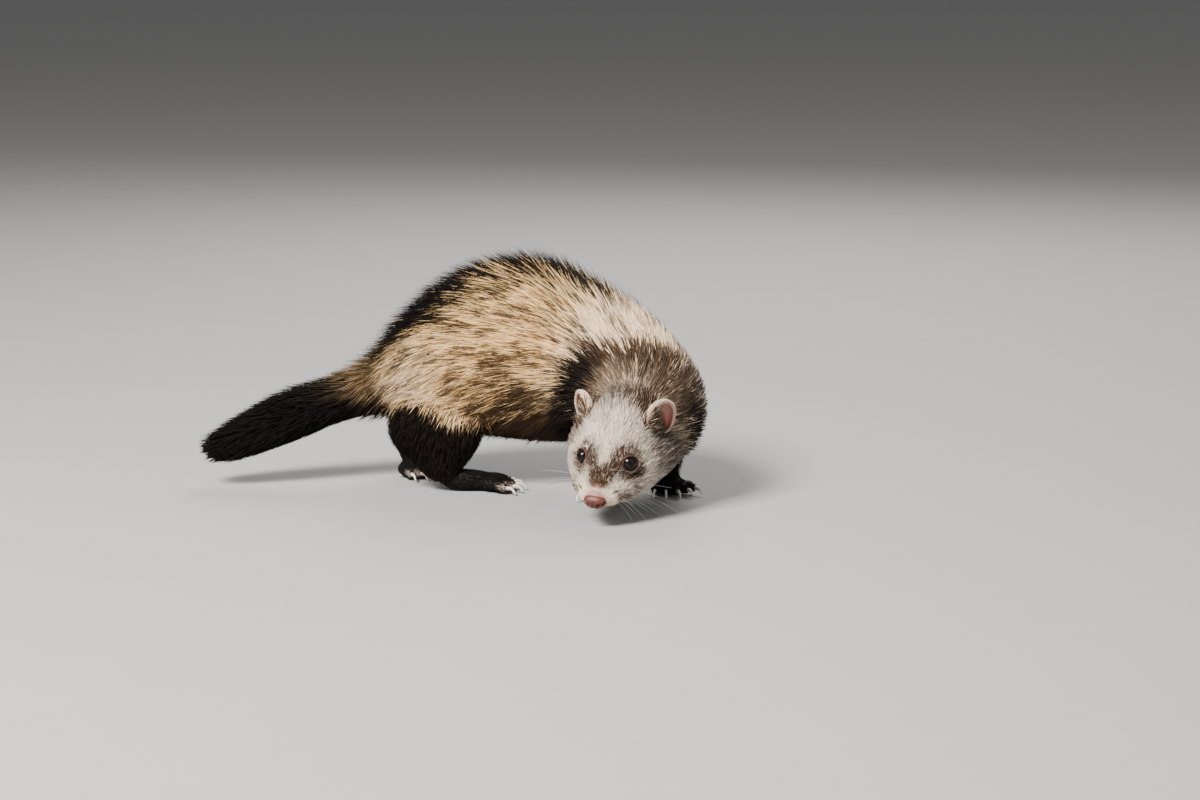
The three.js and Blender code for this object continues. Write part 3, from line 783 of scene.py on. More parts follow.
def ear_mesh(s):
    """A cupped ear: the back of a ball, cut off in front and given a wall, with folds in its cup."""
    bm = ball(56, 40)
    geometry = bm.verts[:] + bm.edges[:] + bm.faces[:]
    bmesh.ops.bisect_plane(bm, geom=geometry, plane_co=(0, 0, 0.2), plane_no=(0, 0, 1), clear_outer=True)
    bmesh.ops.scale(bm, vec=EAR_HALF, verts=bm.verts)
    bmesh.ops.recalc_face_normals(bm, faces=bm.faces)
    bmesh.ops.solidify(bm, geom=bm.faces[:], thickness=EAR_WALL)
    rim = [v for v in bm.verts if v.co.z > EAR_HALF[2] * 0.1]
    bmesh.ops.smooth_vert(bm, verts=rim, factor=0.5, use_axis_x=True, use_axis_y=True, use_axis_z=True)

    def placed(p):
        deep = 1 - np.linalg.norm(p / np.array(EAR_HALF), axis=1)
        inside = ramp(deep, 0.06, 0.14)
        fold = hill(p[:, 0] * s, 4.6, 1.3) * hill(p[:, 1], -3.5, 4)
        fold = fold + 0.7 * hill(p[:, 1], -4, 1.4) * hill(p[:, 0], 0, 4)
        p = p + np.stack([np.zeros(len(p)), np.zeros(len(p)), 1.5 * fold * inside], 1)
        return from_head(np.array(EAR_AT[s]) + p @ ear_frame(s).T)

    return mesh_of("ear_form", bm, placed)


def lid_mesh(s):
    """Both lids of an eye as one rounded rim, drawn out a little at the inner corner."""
    bm = bmesh.new()
    place = Matrix.Translation((LID_RADIUS, 0, 0)) @ Matrix.Rotation(math.pi / 2, 4, "X")
    bmesh.ops.create_circle(bm, segments=14, radius=LID_THICKNESS, matrix=place)
    turn = {"cent": (0, 0, 0), "axis": (0, 0, 1), "angle": 2 * math.pi, "steps": 48}
    bmesh.ops.spin(bm, geom=bm.edges[:], use_merge=True, **turn)

    def placed(p):
        around = np.arctan2(p[:, 1], p[:, 0])
        corner = math.radians(-90 + s * 62)
        inner = hill(np.angle(np.exp(1j * (around - corner))), 0, 0.45)
        outer = hill(np.angle(np.exp(1j * (around - corner - math.pi))), 0, 0.4)
        out = 1 + 0.15 * inner + 0.06 * outer
        upper = ramp(np.sin(around), 0.0, 1.0)
        p = p * np.stack([1.03 * out, 0.97 * out, np.ones(len(p))], 1)
        p[:, 2] += LID_OUT - 0.75 * inner - 0.3 * outer + 0.2 * upper
        return from_head(mirrored(EYE_AT, s) + p @ eye_frame(s).T)

    return mesh_of("lid_form", bm, placed)


def toe_lines(name):
    _, ball_at, heading, length = FEET[name]
    turn = math.radians(heading)
    inner = -1 if name.endswith("left") else 1
    for i, share in enumerate(TOE_REACH):
        step = -inner * (i - (TOES - 1) / 2)
        fan = turn + math.radians(step * TOE_FAN)
        way = np.array((math.cos(fan), math.sin(fan), 0))
        left = np.array((-math.sin(turn), math.cos(turn), 0))
        root = np.array(ball_at, float) + left * step * TOE_SPACING
        root[2] = TOE_LINE[0]
        knuckle = root + way * length * share * 0.5
        knuckle[2] = TOE_LINE[1]
        tip = root + way * length * share
        tip[2] = TOE_LINE[2]
        yield root, knuckle, tip, way


def paw_mesh(name):
    heel, ball_at, heading, _ = FEET[name]
    turn = math.radians(heading)
    forward = np.array((math.cos(turn), math.sin(turn), 0))
    heel, middle = np.array(heel, float), np.array(ball_at, float)

    def pad(p):
        p = p * np.array(PAD)
        left = np.array((-forward[1], forward[0], 0))
        return middle * (1, 1, 0) + (0, 0, 5) + p[:, :1] * forward + p[:, 1:2] * left + p[:, 2:] * UP

    meshes = [mesh_of("pad", ball(24, 16), pad)]
    meshes.append(finger("instep", [heel, (heel + middle) / 2, middle + forward * 3], INSTEP))
    for root, knuckle, tip, _ in toe_lines(name):
        radii = (TOE_RADIUS, TOE_RADIUS * 1.05, TOE_RADIUS * 0.88)
        meshes.append(finger("toe", [root, knuckle, tip], radii))
    mesh = blended("paw_form", meshes, 0.75, 3)
    places = places_of(mesh)
    places[:, 2] = np.maximum(places[:, 2], LOWEST_SOLE)
    set_places(mesh, places)
    return mesh


def in_part(region, *names):
    return np.isin(region, [REGIONS.index(name) for name in names])


class Landmarks:
    """Knows which part of the body a point of the skin is on, and its place along and round that part."""

    def __init__(self):
        self.rows = []

    def add(self, region, places, t, angle):
        number = np.full(len(places), REGIONS.index(region))
        self.rows.append(np.column_stack([places, number, t, angle]))

    def close(self):
        self.table = np.vstack(self.rows)
        self.tree = KDTree(len(self.table))
        for i, row in enumerate(self.table):
            self.tree.insert(row[:3], i)
        self.tree.balance()

    def read(self, points):
        found = self.table[[self.tree.find(p)[1] for p in points]]
        return found[:, 3].astype(int), found[:, 4], found[:, 5]


landmarks = Landmarks()


def skin_mesh():
    trunk, t, angle = swept("trunk_form", SPINE_PATH, 96, 260, 14, lambda t, a: -coat_depth(t, a))
    landmarks.add("trunk", places_of(trunk), t, angle)
    parts = [trunk]
    for name, path in LEG_PATHS.items():
        lift = lambda t, _: -(LEG_COAT[0] + (LEG_COAT[1] - LEG_COAT[0]) * t)
        leg, t, angle = swept(f"{name}_form", path, 40, 44, 8, lift)
        landmarks.add(name, places_of(leg), t, angle)
        parts.append(leg)
    body = blended("body_form", parts, 1.5, 10)
    head, t, angle = head_mesh()
    landmarks.add("head", places_of(head), t, angle)
    others = [head]
    for s in (1, -1):
        ear = ear_mesh(s)
        p = (to_head(places_of(ear)) - np.array(EAR_AT[s])) @ ear_frame(s)
        landmarks.add("ear", places_of(ear), 0.5 + 0.24 * s + p[:, 1] / 60, np.arctan2(p[:, 0], p[:, 2]))
        others += [ear, lid_mesh(s)]
    for i, name in enumerate(FEET):
        paw = paw_mesh(name)
        places = places_of(paw)
        heading = math.radians(FEET[name][2])
        q = places - np.array(FEET[name][1])
        ahead = q[:, 0] * math.cos(heading) + q[:, 1] * math.sin(heading)
        aside = q[:, 1] * math.cos(heading) - q[:, 0] * math.sin(heading)
        t = (i + np.clip(0.5 + ahead / PAW_CHART, 0, 1)) / len(FEET)
        landmarks.add("paw", places, t, np.arctan2(aside, q[:, 2] + 0.5))
        others.append(paw)
    landmarks.close()
    return united("skin", body, others)


def flow(points, normals, region, t, angle):
    """The way that the coat lies: back from the nose, tailward along the back, down the legs to the toes."""
    way = np.zeros_like(points)
    trunk = in_part(region, "trunk")
    if trunk.any():
        ts, angles = t[trunk], angle[trunk]
        _, along, side, up, _ = SPINE_PATH.at(ts)
        down = side * np.cos(angles)[:, None] * np.sign(angles)[:, None]
        down = down - up * np.abs(np.sin(angles))[:, None]
        a, s = np.abs(angles), ts * SPANS
        turns = (0, 0.5, 1.0, 1.6, 2.2, 2.8)
        middle = np.interp(a, turns, (0, -0.16, -0.2, 0.02, 0.42, 0.8))
        rump = np.interp(a, turns, (0, 0.04, 0.14, 0.32, 0.65, 0.9))
        neck = np.interp(a, (0, 1.0, 2.0, 2.8), (0, 0.05, 0.2, 0.4))
        slope = rump + (middle - rump) * ramp(s, 7.2, 8.8)
        slope = slope + (neck - slope) * ramp(s, 11.5, 13)
        way[trunk] = -along + down * (slope * ramp(s, 4.5, 6.5))[:, None]
    head = in_part(region, "head", "ear")
    if head.any():
        p = to_head(points[head])
        away = unit(p - np.array((27, 0, -7)))
        away[:, 0] -= 0.35
        away[:, 2] -= 0.25 * ramp(np.abs(p[:, 1]), 10, 24)
        for s in (1, -1):
            gap = p - mirrored(EYE_AT, s)
            away += 1.6 * unit(gap) * hill(np.linalg.norm(gap, axis=1), 4.6, 2.4)[:, None]
        way[head] = away @ HEAD.T
    for name, path in LEG_PATHS.items():
        leg = in_part(region, name)
        if leg.any():
            _, along, _, _, _ = path.at(t[leg])
            way[leg] = along + np.array((-0.75, 0, 0)) * (1 - t[leg][:, None])
    paw = in_part(region, "paw")
    if paw.any():
        number = np.minimum((t[paw] * len(FEET)).astype(int), len(FEET) - 1)
        headings = np.radians([FEET[name][2] for name in FEET])[number]
        way[paw] = np.stack([np.cos(headings), np.sin(headings), np.full(len(headings), -0.25)], 1)
    way -= normals * (way * normals).sum(1)[:, None]
    return unit(way)


def collar_at(angle):
    return np.interp(angle, COLLAR_ANGLES, COLLAR_SECTIONS)


def markings(points, region, t, angle):
    """Masks of the coat: the share of dark hair, how cream the pale hair is, how black the dark hair is. The
    share of dark hair also carries painted shade under the belly and chest and on one side of the collar.
    """
    s = t * SPANS
    a = np.abs(angle)
    patch = ripple(points, 14, 3)
    streak = ripple(np.stack([s * 0.9, (a + 0.1 * s) * 9, np.sign(angle) * 5], 1), 1, 9)
    sable = 0.38 + 0.62 * ramp(a, 0.92 - 0.4 * ramp(s, 9.4, 11), 0.33) * ramp(s, 12.2, 10.6)
    for much, section, along, from_ridge, round_it in PATCHES:
        sable += much * hill(s, section, along) * hill(a, from_ridge, round_it)
    # Darker underneath the middle of the body: painted shade under the belly
    sable += 0.6 * ramp(a, 1.95, 2.4) * ramp(s, 7.8, 8.6)
    sable += 0.9 * ramp(a, 1.8, 2.2) * ramp(s, 6.8, 5.8)
    sable += 0.08 * patch + 0.30 * streak
    warm = 0.95 - 0.4 * hill(s, 6.9, 0.9) * hill(a, 1.6, 0.6)
    warm -= 0.46 * ramp(s, 10.0, 11.4)
    sable -= 0.06 * ramp(s, 10, 11)
    to_collar = s - collar_at(angle)
    ahead = ramp(to_collar, -0.45, -0.1)
    collar = ahead * ramp(to_collar, 1.5, 0.4)
    # The collar is darker on the side with positive angles: painted shade on that side
    depth = 0.88 + 0.12 * ramp(angle, 0.5, 1.5) - 0.1 * ramp(angle, -0.4, -1.2)
    black = 0.25 + 0.6 * ramp(a, 0.9, 0.4) * ramp(s, 11.5, 10.0)
    black = black + 0.5 * hill(s, 7.8, 0.9) * hill(a, 0.75, 0.6)
    black = black * (1 - ahead) + collar * 0.8 * ramp(a, 0.6, 1.5)
    sable = sable * (1 - ahead) + ahead * (0.8 + 0.08 * patch + 0.05 * streak) + collar * (depth - 0.75)
    # Darker underneath towards the chest: painted shade under the body behind the forelegs
    sable += 0.5 * ramp(a, 2.0, 2.6) * ramp(s, 9.6, 10.8)
    sable -= 0.18 * hill(s, 11.3, 0.8) * ramp(a, 1.2, 0.6) * (1 - ahead)
    tail = ramp(s, 6.8, 5.2)
    root = hill(s, 5.4, 0.6) * ramp(a, 1.6, 1.0)
    sable = sable * (1 - tail) + tail * (1.15 - 0.34 * root)
    warm = warm * (1 - tail) + 0.9 * tail
    black = np.maximum(black, ramp(a, 1.8, 2.3) * ramp(s, 6.8, 5.8))
    black = black * (1 - tail) + tail * (1 - 0.9 * root)
    head = in_part(region, "head")
    if head.any():
        dark, cream = face_markings(to_head(points[head]))
        sable[head], warm[head], black[head] = dark, cream, 0
    ear = in_part(region, "ear")
    if ear.any():
        sable[ear] = 0.04 + 0.9 * ear_front(to_head(points[ear]))
        warm[ear] = 0.35
        black[ear] = 0
    leg = in_part(region, *LEGS)
    hind = in_part(region, "hind_right", "hind_left")
    dark_from = np.where(hind, 0.04 + 0.24 * ramp(a, 1.2, 2.1), 0.0)[leg]
    below = ramp(t[leg] - dark_from, 0.0, 0.14)
    sable[leg] = 0.35 + 0.7 * below
    warm[leg] = 0.85
    black[leg] = below
    paw = in_part(region, "paw")
    ahead_of_pad = (t[paw] * len(FEET) % 1 - 0.5) * PAW_CHART
    toes = ramp(ahead_of_pad, 1, 7) * (t[paw] < 0.5) * ramp(points[paw, 2], 7.5, 4.5)
    sable[paw] = 1 - 0.2 * toes
    warm[paw] = 0.2
    black[paw] = 1 - 0.8 * toes
    return np.clip(sable, 0, 1), np.clip(warm, 0, 1), np.clip(black, 0, 1)


def ear_front(p):
    """The lower front of each ear, where dark hair grows, from 0 to 1."""
    found = np.zeros(len(p))
    for s in (1, -1):
        q = (p - np.array(EAR_AT[s])) @ ear_frame(s)
        near = ramp(np.linalg.norm(q, axis=1), 16, 12)
        found = np.maximum(found, (0.8 + 0.2 * s) * near * ramp(-s * q[:, 0], -2, 2.5) * ramp(q[:, 1], 6, 1))
    return found


def under_colour(sable):
    """The undercoat and the skin are dark only where most of the hair is."""
    return np.clip((sable - 0.6) * 2.5, 0, 1)


def face_markings(p):
    """White face, brown round the eyes and down beside the bridge of the nose, streaks over the crown, and
    painted shade in the creases, on the cheeks and low on the sides of the muzzle.
    """
    forehead = hill(np.linalg.norm((p - np.array((-10, -3, 9))) * (0.8, 1, 0.6), axis=1), 0, 11)
    sable = 0.35 - 0.35 * forehead
    for s in (1, -1):
        gap = np.linalg.norm(p - mirrored((0.5, 12.2, -1.5), s), axis=1)
        sable += 0.55 * hill(gap, 6.2, 3.4)
        line = ((2, s * 8.5, 3), (6.5, s * 6.5, 2.5), (12, s * 4.2, 0.5), (17, s * 1.8, -1.5))
        sable += (0.66 + 0.1 * s) * hill(away_from_line(p, line), 0, 3.9 + 0.3 * s)
        for row in range(4):
            x = np.array((20.5, 15, 9, 4.5))
            z = np.array((-6.3, -7.0, -8.6, -10.5)) - 2.0 * row
            sable += 0.6 * hill(away_from_line(p, on_head(x, z, s)), 0, 0.75)
    sable += 0.35 * hill(np.linalg.norm(p - np.array((14, 0, 0)), axis=1), 0, 4.5)
    sable += 0.25 * hill(p[:, 0], 14, 4) * hill(p[:, 1], 0, 5) * (p[:, 2] > -4)
    sable -= 0.25 * hill(p[:, 0], 4, 6) * hill(p[:, 1], -0.5, 2.2)
    sable -= 0.6 * ramp(p[:, 0], 18.5, 21.5)
    sable += 0.35 * hill(p[:, 0], 21.5, 1.5) * ramp(np.abs(p[:, 1]), 5, 3) * (p[:, 2] > -7)
    sable += 0.8 * ear_front(p)
    crown = ramp(p[:, 0], -15, -28) * ramp(np.abs(p[:, 1]), 24, 8) * (p[:, 2] > 0)
    sable += 0.20 * crown
    sable += 0.14 * ramp(p[:, 0], -5, -16)
    # Darker cheeks: painted shade. Darker low on the sides of the muzzle: darker streaks there, with painted
    # shade
    sable += 0.16 * ramp(np.abs(p[:, 1]), 16, 22) * ramp(p[:, 0], 2, -8)
    sable += 0.26 * hill(p[:, 0], 11, 8) * ramp(p[:, 2], -7, -11)
    # Painted shade in the creases of the face
    sable += 0.4 * crease_shade(p)
    sable += 0.14 * ripple(p, 5, 5) + 0.08 * ripple(p, 2.2, 7)
    warm = 0.10 + 0.25 * ramp(p[:, 0], -20, -38) + 0.2 * hill(p[:, 0], 20, 3)
    return np.clip(sable, 0, 1), warm


def crease_shade(p):
    """Where the face is creased, from 0 to 1, for painted shade in its hair; the points are in the frame of
    the head.
    """
    found = np.zeros(len(p))
    for s in (1, -1):
        for line, _, width in FOLDS[:3]:
            x, z = np.array(line, float).T
            found = np.maximum(found, hill(away_from_line(p, on_head(x, z, s)), 0, width * 0.9))
    return found


def bare_skin(points):
    """Where skin shows: round the nose, the lids and the cup of the ears. Also how red and how dark it is;
    the dark is the rims of the lids, blotches round the nose, and painted shade along the mouth, in the inner
    corners of the eyes and deep in the ear cups.
    """
    p = to_head(points)
    bare, ruddy, dusk = np.zeros(len(p)), np.zeros(len(p)), np.zeros(len(p))
    near = np.linalg.norm(p - np.array(NOSE_AT), axis=1)
    bare = np.maximum(bare, 0.55 * ramp(near, 11, 8) + 0.4 * ramp(near, 7.4, 5.4))
    dusk = np.maximum(dusk, 0.3 * ramp(near, 11, 8) * (1 + ripple(p, 1.6, 15)))
    x, z = np.array(MOUTH[1:], float).T
    for s in (1, -1):
        q = p - mirrored(EYE_AT, s)
        gap = np.linalg.norm(q, axis=1)
        bare = np.maximum(bare, ramp(gap, 5.7, 5.3))
        dusk = np.maximum(dusk, (0.94 - 0.2 * ramp(q[:, 2], 1, -3)) * ramp(gap, 6.2, 5.8))
        dusk = np.maximum(dusk, ramp(gap, 4.75, 4.45))
        # Painted shade in the inner corner of each eye and along the line of the mouth
        corner = hill(np.linalg.norm(p - mirrored((4.4, 9.9, -0.6), s), axis=1), 0, 1.5)
        bare = np.maximum(bare, corner)
        dusk = np.maximum(dusk, 0.9 * corner)
        dusk = np.maximum(dusk, 0.8 * hill(away_from_line(p, on_head(x, z, s)), 0, 0.7))
        q = (p - np.array(EAR_AT[s])) @ ear_frame(s)
        share = np.linalg.norm(q / np.array(EAR_HALF), axis=1)
        cup = ramp(share, 0.93, 0.88)
        cup *= np.linalg.norm(q, axis=1) < 13
        rim = 0.6 * ramp(np.abs(share - 0.96), 0.12, 0.05) * (q[:, 2] > -2)
        bare = np.maximum(bare, np.maximum(cup, rim))
        ruddy = np.maximum(ruddy, cup * ramp(q[:, 1], 4, -6) * (0.58 + 0.42 * s))
        # Painted shade deep in the lower cup of the ear
        dusk = np.maximum(dusk, 0.55 * cup * ramp(q[:, 1], -2, -9))
    return bare, ruddy, dusk


skin_tree = {}


def body_parts():
    """The skin's surface for rays, kept between the operators that set the coat on it."""
    if "skin" not in bpy.data.objects:
        raise RuntimeError("The skin is built before the coat")
    if "bvh" not in skin_tree:
        mesh = bpy.data.objects["skin"].data
        places = places_of(mesh) / MM - FOOTPRINT
        triangles = triangles_of(mesh)
        skin_tree["places"] = places
        skin_tree["triangles"] = triangles
        skin_tree["bvh"] = BVHTree.FromPolygons(places.tolist(), triangles.tolist(), all_triangles=True)
    return skin_tree


def triangles_of(mesh):
    mesh.calc_loop_triangles()
    corners = np.empty(len(mesh.loop_triangles) * 3, np.int32)
    mesh.loop_triangles.foreach_get("vertices", corners)
    return corners.reshape(-1, 3)


# The coat

def scattered():
    """Points spread at random over the skin, with their normals."""
    parts = body_parts()
    corners = parts["places"][parts["triangles"]]
    cross = np.cross(corners[:, 1] - corners[:, 0], corners[:, 2] - corners[:, 0])
    area = np.linalg.norm(cross, axis=1) / 2
    count = int(area.sum() * POINTS_PER_AREA)
    order = np.sort(rng.random(count)) * area.sum()
    pick = np.minimum(np.searchsorted(np.cumsum(area), order), len(area) - 1)
    u, v = rng.random(count), rng.random(count)
    over = u + v > 1
    u[over], v[over] = 1 - u[over], 1 - v[over]
    chosen = corners[pick]
    first, second = chosen[:, 1] - chosen[:, 0], chosen[:, 2] - chosen[:, 0]
    points = chosen[:, 0] + u[:, None] * first + v[:, None] * second
    normals = unit(cross[pick])
    shuffle = rng.permutation(count)
    return points[shuffle], normals[shuffle]


def evenly(points, spacing):
    """Which points to keep so that no small cube of that side holds two."""
    cell = np.floor(points / np.asarray(spacing)[:, None]).astype(np.int64)
    size = np.round(np.asarray(spacing) * 50).astype(np.int64)
    key = cell_number(cell) * 131 + size
    _, first = np.unique(key, return_index=True)
    return np.sort(first)


def laid_over(roots, normals, way, lengths, heights, stations):
    """The middle line of each tuft: from the root it runs along the way, at given heights over the skin."""
    bvh = body_parts()["bvh"]
    count = len(roots)
    places = np.empty((count, stations, 3))
    ups = np.empty((count, stations, 3))
    places[:, 0] = roots + normals * heights[:, :1]
    ups[:, 0] = normals
    step = lengths / (stations - 1)
    ahead = way.copy()
    for k in range(1, stations):
        wanted = places[:, k - 1] + ahead * step[:, None]
        here, up = np.empty((count, 3)), np.empty((count, 3))
        for i, q in enumerate(wanted):
            location, normal, _, _ = bvh.find_nearest(q)
            here[i], up[i] = location, normal
        up = unit(ups[:, k - 1] * 0.4 + up)
        places[:, k] = here + up * heights[:, k : k + 1]
        moved = places[:, k] - places[:, k - 1]
        ahead = unit(moved - up * (moved * up).sum(1)[:, None])
        ups[:, k] = up
    return places, ups


def tuft_arrays(places, ups, widths, thickness):
    """Vertices and faces of closed three-sided tapering tufts around middle lines."""
    count, stations, _ = places.shape
    along = np.empty_like(places)
    along[:, 1:-1] = places[:, 2:] - places[:, :-2]
    along[:, 0] = places[:, 1] - places[:, 0]
    along[:, -1] = places[:, -1] - places[:, -2]
    side = unit(np.cross(ups, along))
    up = unit(np.cross(along, side))
    rings = stations - 1
    corners = np.empty((count, 3 * rings + 1, 3))
    for k in range(rings):
        half = widths[:, k : k + 1] / 2
        corners[:, 3 * k] = places[:, k] + side[:, k] * half
        corners[:, 3 * k + 1] = places[:, k] + up[:, k] * half * thickness
        corners[:, 3 * k + 2] = places[:, k] - side[:, k] * half
    corners[:, -1] = places[:, -1]
    faces = [(0, 2, 1)]
    for k in range(rings - 1):
        for j in range(3):
            n = (j + 1) % 3
            faces.append((3 * k + j, 3 * k + n, 3 * k + 3 + n, 3 * k + 3 + j))
    last = 3 * (rings - 1)
    faces += [(last + j, last + (j + 1) % 3, 3 * rings) for j in range(3)]
    return corners, faces


def tuft_mesh(name, corners, faces, chart, masks):
    """One mesh of many tufts, each with its small patch on the chart.

    A mask has one number a tuft, or two, which are the values at the root and at the tip.
    """
    count, per_tuft, _ = corners.shape
    loops = np.concatenate([np.array(f) for f in faces])
    sizes = np.tile([len(f) for f in faces], count)
    index = (np.arange(count)[:, None] * per_tuft + loops[None]).ravel()
    mesh = bpy.data.meshes.new(name)
    mesh.vertices.add(count * per_tuft)
    mesh.vertices.foreach_set("co", in_frame(corners.reshape(-1, 3)).ravel())
    mesh.loops.add(len(index))
    mesh.loops.foreach_set("vertex_index", index.astype(np.int32))
    mesh.polygons.add(len(sizes))
    mesh.polygons.foreach_set("loop_start", np.concatenate(([0], np.cumsum(sizes)[:-1])).astype(np.int32))
    mesh.update(calc_edges=True)
    mesh.shade_smooth()
    ring = np.minimum(np.arange(per_tuft) // 3, (per_tuft - 1) // 3)
    share = ring / ring.max()
    aside = np.where(np.arange(per_tuft) == per_tuft - 1, 0.5, (np.arange(per_tuft) % 3) / 2)
    patch = np.stack([aside - 0.5, share - 0.5], 1) * PATCH
    uv = np.clip(chart, PATCH, 1 - PATCH)[:, None] + patch[loops][None]
    layer = mesh.uv_layers.new(name="OFBake")
    layer.data.foreach_set("uv", uv.reshape(-1).astype(np.float32))
    mask(mesh, "tip", np.tile(share, count))
    for label, values in masks.items():
        if values.ndim == 2:
            values = values[:, :1] + (values[:, 1:] - values[:, :1]) * share[None]
            mask(mesh, label, values.ravel())
        else:
            mask(mesh, label, np.repeat(values, per_tuft))
    return mesh


def grow(name, chosen, spec):
    """Sets tufts on the chosen roots, and parts them into pieces that are small enough."""
    roots, normals, region, t, angle = chosen
    count = len(roots)
    way = flow(roots, normals, region, t, angle)
    toward, lot = gathered(roots, spec["clump"])
    sable, warm, black = markings(roots, region, t, angle)
    masks = spec["masks"](sable, warm, black, lot)
    masks["black"] = black
    over = 1 + spec.get("over", 0) * (masks["sable"].reshape(count, -1)[:, -1] > 0.8)
    turn = 0.12 * ripple(roots, 9, 1) + 0.22 * (lot - 0.5) + 0.07 * rng.standard_normal(count)
    across = np.cross(normals, way)
    way = way * np.cos(turn)[:, None] + across * np.sin(turn)[:, None]
    lengths = spec["length"] * (1 + 0.18 * rng.standard_normal(count).clip(-2, 2))
    heights = spec["height"] * (1 + 0.14 * rng.standard_normal(count).clip(-2, 2) + 0.16 * (lot - 0.5))
    heights = np.array(spec["rise"])[None] * (heights * over)[:, None]
    heights[:, -1] = np.minimum(heights[:, -1] * spec.get("stand", 1), TALLEST_TIP)
    heights[:, 0] = -ROOT_DEPTH
    places, ups = laid_over(roots, normals, way, lengths, heights, len(spec["rise"]))
    if "free" in spec:
        along = np.linspace(0, 1, places.shape[1])[None] * lengths[:, None]
        straight = roots[:, None] + normals[:, None] * heights[:, :, None] + way[:, None] * along[:, :, None]
        places += (straight - places) * spec["free"][:, None, None]
    pull = toward - normals * (toward * normals).sum(1)[:, None]
    bunched = np.broadcast_to(spec.get("bunched", 1), count)
    places += pull[:, None] * np.array(spec["gather"])[None, :, None] * bunched[:, None, None]
    widths = spec["width"] * (1 + 0.2 * rng.standard_normal(count).clip(-2, 2))
    widths = np.array(spec["taper"])[None] * (widths * over)[:, None]
    corners, faces = tuft_arrays(places, ups, widths, spec["thick"])
    corners[:, :, 2] = np.maximum(corners[:, :, 2], LOWEST_HAIR)
    per_tuft = sum(len(f) - 2 for f in faces)
    order = np.lexsort((t, region))
    groups = max(1, math.ceil(count * per_tuft / MOST_TRIANGLES))
    material = coat_material()
    for number, part in enumerate(np.array_split(order, groups)):
        label = name if groups == 1 else f"{name}_{number + 1}"
        chart = chart_of(region[part], t[part], angle[part])
        own = {key: value[part] for key, value in masks.items()}
        mesh = tuft_mesh(label, corners[part], faces, chart, own)
        kept_in_place(piece(label, mesh, material))
    print(name, count, "tufts", count * per_tuft, "triangles")


def gathered(roots, size):
    """For each root, the way to the middle of its clump, and a number from 0 to 1 that its clump shares."""
    middles = roots[evenly(roots, np.full(len(roots), size))]
    tree = KDTree(len(middles))
    for i, middle in enumerate(middles):
        tree.insert(middle, i)
    tree.balance()
    nearest = np.array([tree.find(root)[1] for root in roots])
    return middles[nearest] - roots, rng.random(len(middles))[nearest]


def chart_of(region, t, angle):
    """The place of each root on an unwrap of the skin: a strip for each part, along it and round it."""
    kinds = np.unique(region)
    column = np.searchsorted(kinds, region)
    low = np.array([t[region == k].min() for k in kinds])
    high = np.array([t[region == k].max() for k in kinds])
    across = (t - low[column]) / np.maximum(high - low, 1e-6)[column]
    return np.stack([(column + 0.02 + 0.96 * across) / len(kinds), 0.5 + angle / (2 * math.pi)], 1)


def roots_on(where, spacing):
    """Evenly spread roots that pass a test, with their part of the body.

    The spacing is a number, or a function that gives one for each point.
    """
    if "roots" not in skin_tree:
        points, normals = scattered()
        skin_tree["roots"] = (points, normals, *landmarks.read(points))
    points, normals, region, t, angle = skin_tree["roots"]
    keep = where(points, region, t)
    points, normals, region, t, angle = (x[keep] for x in (points, normals, region, t, angle))
    order = rng.permutation(len(points))
    points, normals, region, t, angle = (x[order] for x in (points, normals, region, t, angle))
    gaps = spacing(points) if callable(spacing) else np.full(len(points), spacing)
    keep = evenly(points, gaps)
    return tuple(x[keep] for x in (points, normals, region, t, angle))


def toned(count, low=0.8, high=1.15):
    return low + (high - low) * rng.random(count)


def body_height(t, angle):
    """How high the coat stands over the skin: its depth, and a little more along the ridge of the back."""
    stand = 1 + 0.1 * ramp(np.abs(angle), 0.7, 0.1) * ramp(t * SPANS, 6, 8)
    return coat_depth(t, angle) * stand


# What a user would change

def gap_property(name, description, value, least):
    described = f"{description}, in millimetres"
    return bpy.props.FloatProperty(name=name, description=described, default=value, min=least)


def colour_property(name, description, value):
    return bpy.props.FloatVectorProperty(name=name, description=description, subtype="COLOR", default=value)


class FerretSizes(bpy.types.PropertyGroup):
    undercoat_spacing: gap_property(
        "Undercoat spacing", "Distance between the tufts of the undercoat", 1.35, 0.5
    )
    guard_spacing: gap_property("Guard hair spacing", "Distance between the guard hairs", 1.28, 0.5)
    face_spacing: gap_property("Face spacing", "Distance between the tufts of the face", 0.56, 0.3)
    whisker_length: bpy.props.FloatProperty(
        name="Whisker length", description="Length of the longest whisker", default=0.034, unit="LENGTH"
    )


class FerretColours(bpy.types.PropertyGroup):
    white: colour_property("White", "Hair of the face", (1.0, 0.88, 0.77))
    cream: colour_property("Cream", "Undercoat of the flanks", (0.90, 0.56, 0.20))
    sable: colour_property("Sable", "Dark hair at its root", (0.090, 0.046, 0.026))
    dark: colour_property("Dark", "Dark hair at its tip", (0.006, 0.0045, 0.0042))
    skin: colour_property("Skin", "Bare skin of the face", (0.46, 0.24, 0.19))
    ruddy: colour_property("Ruddy skin", "Skin deep in the ear", (0.42, 0.13, 0.09))
    nose: colour_property("Nose", "Leather of the nose", (0.135, 0.040, 0.031))
    eye: colour_property("Eye", "Iris", (0.010, 0.0045, 0.003))
    claw: colour_property("Claw", "Horn of the claws", (0.86, 0.76, 0.66))
    floor: colour_property("Floor", "Floor and backdrop", (0.36, 0.36, 0.355))


# One operator for each piece

FLESH_NODES = [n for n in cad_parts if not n.startswith(("eye", "claw", "nose"))]


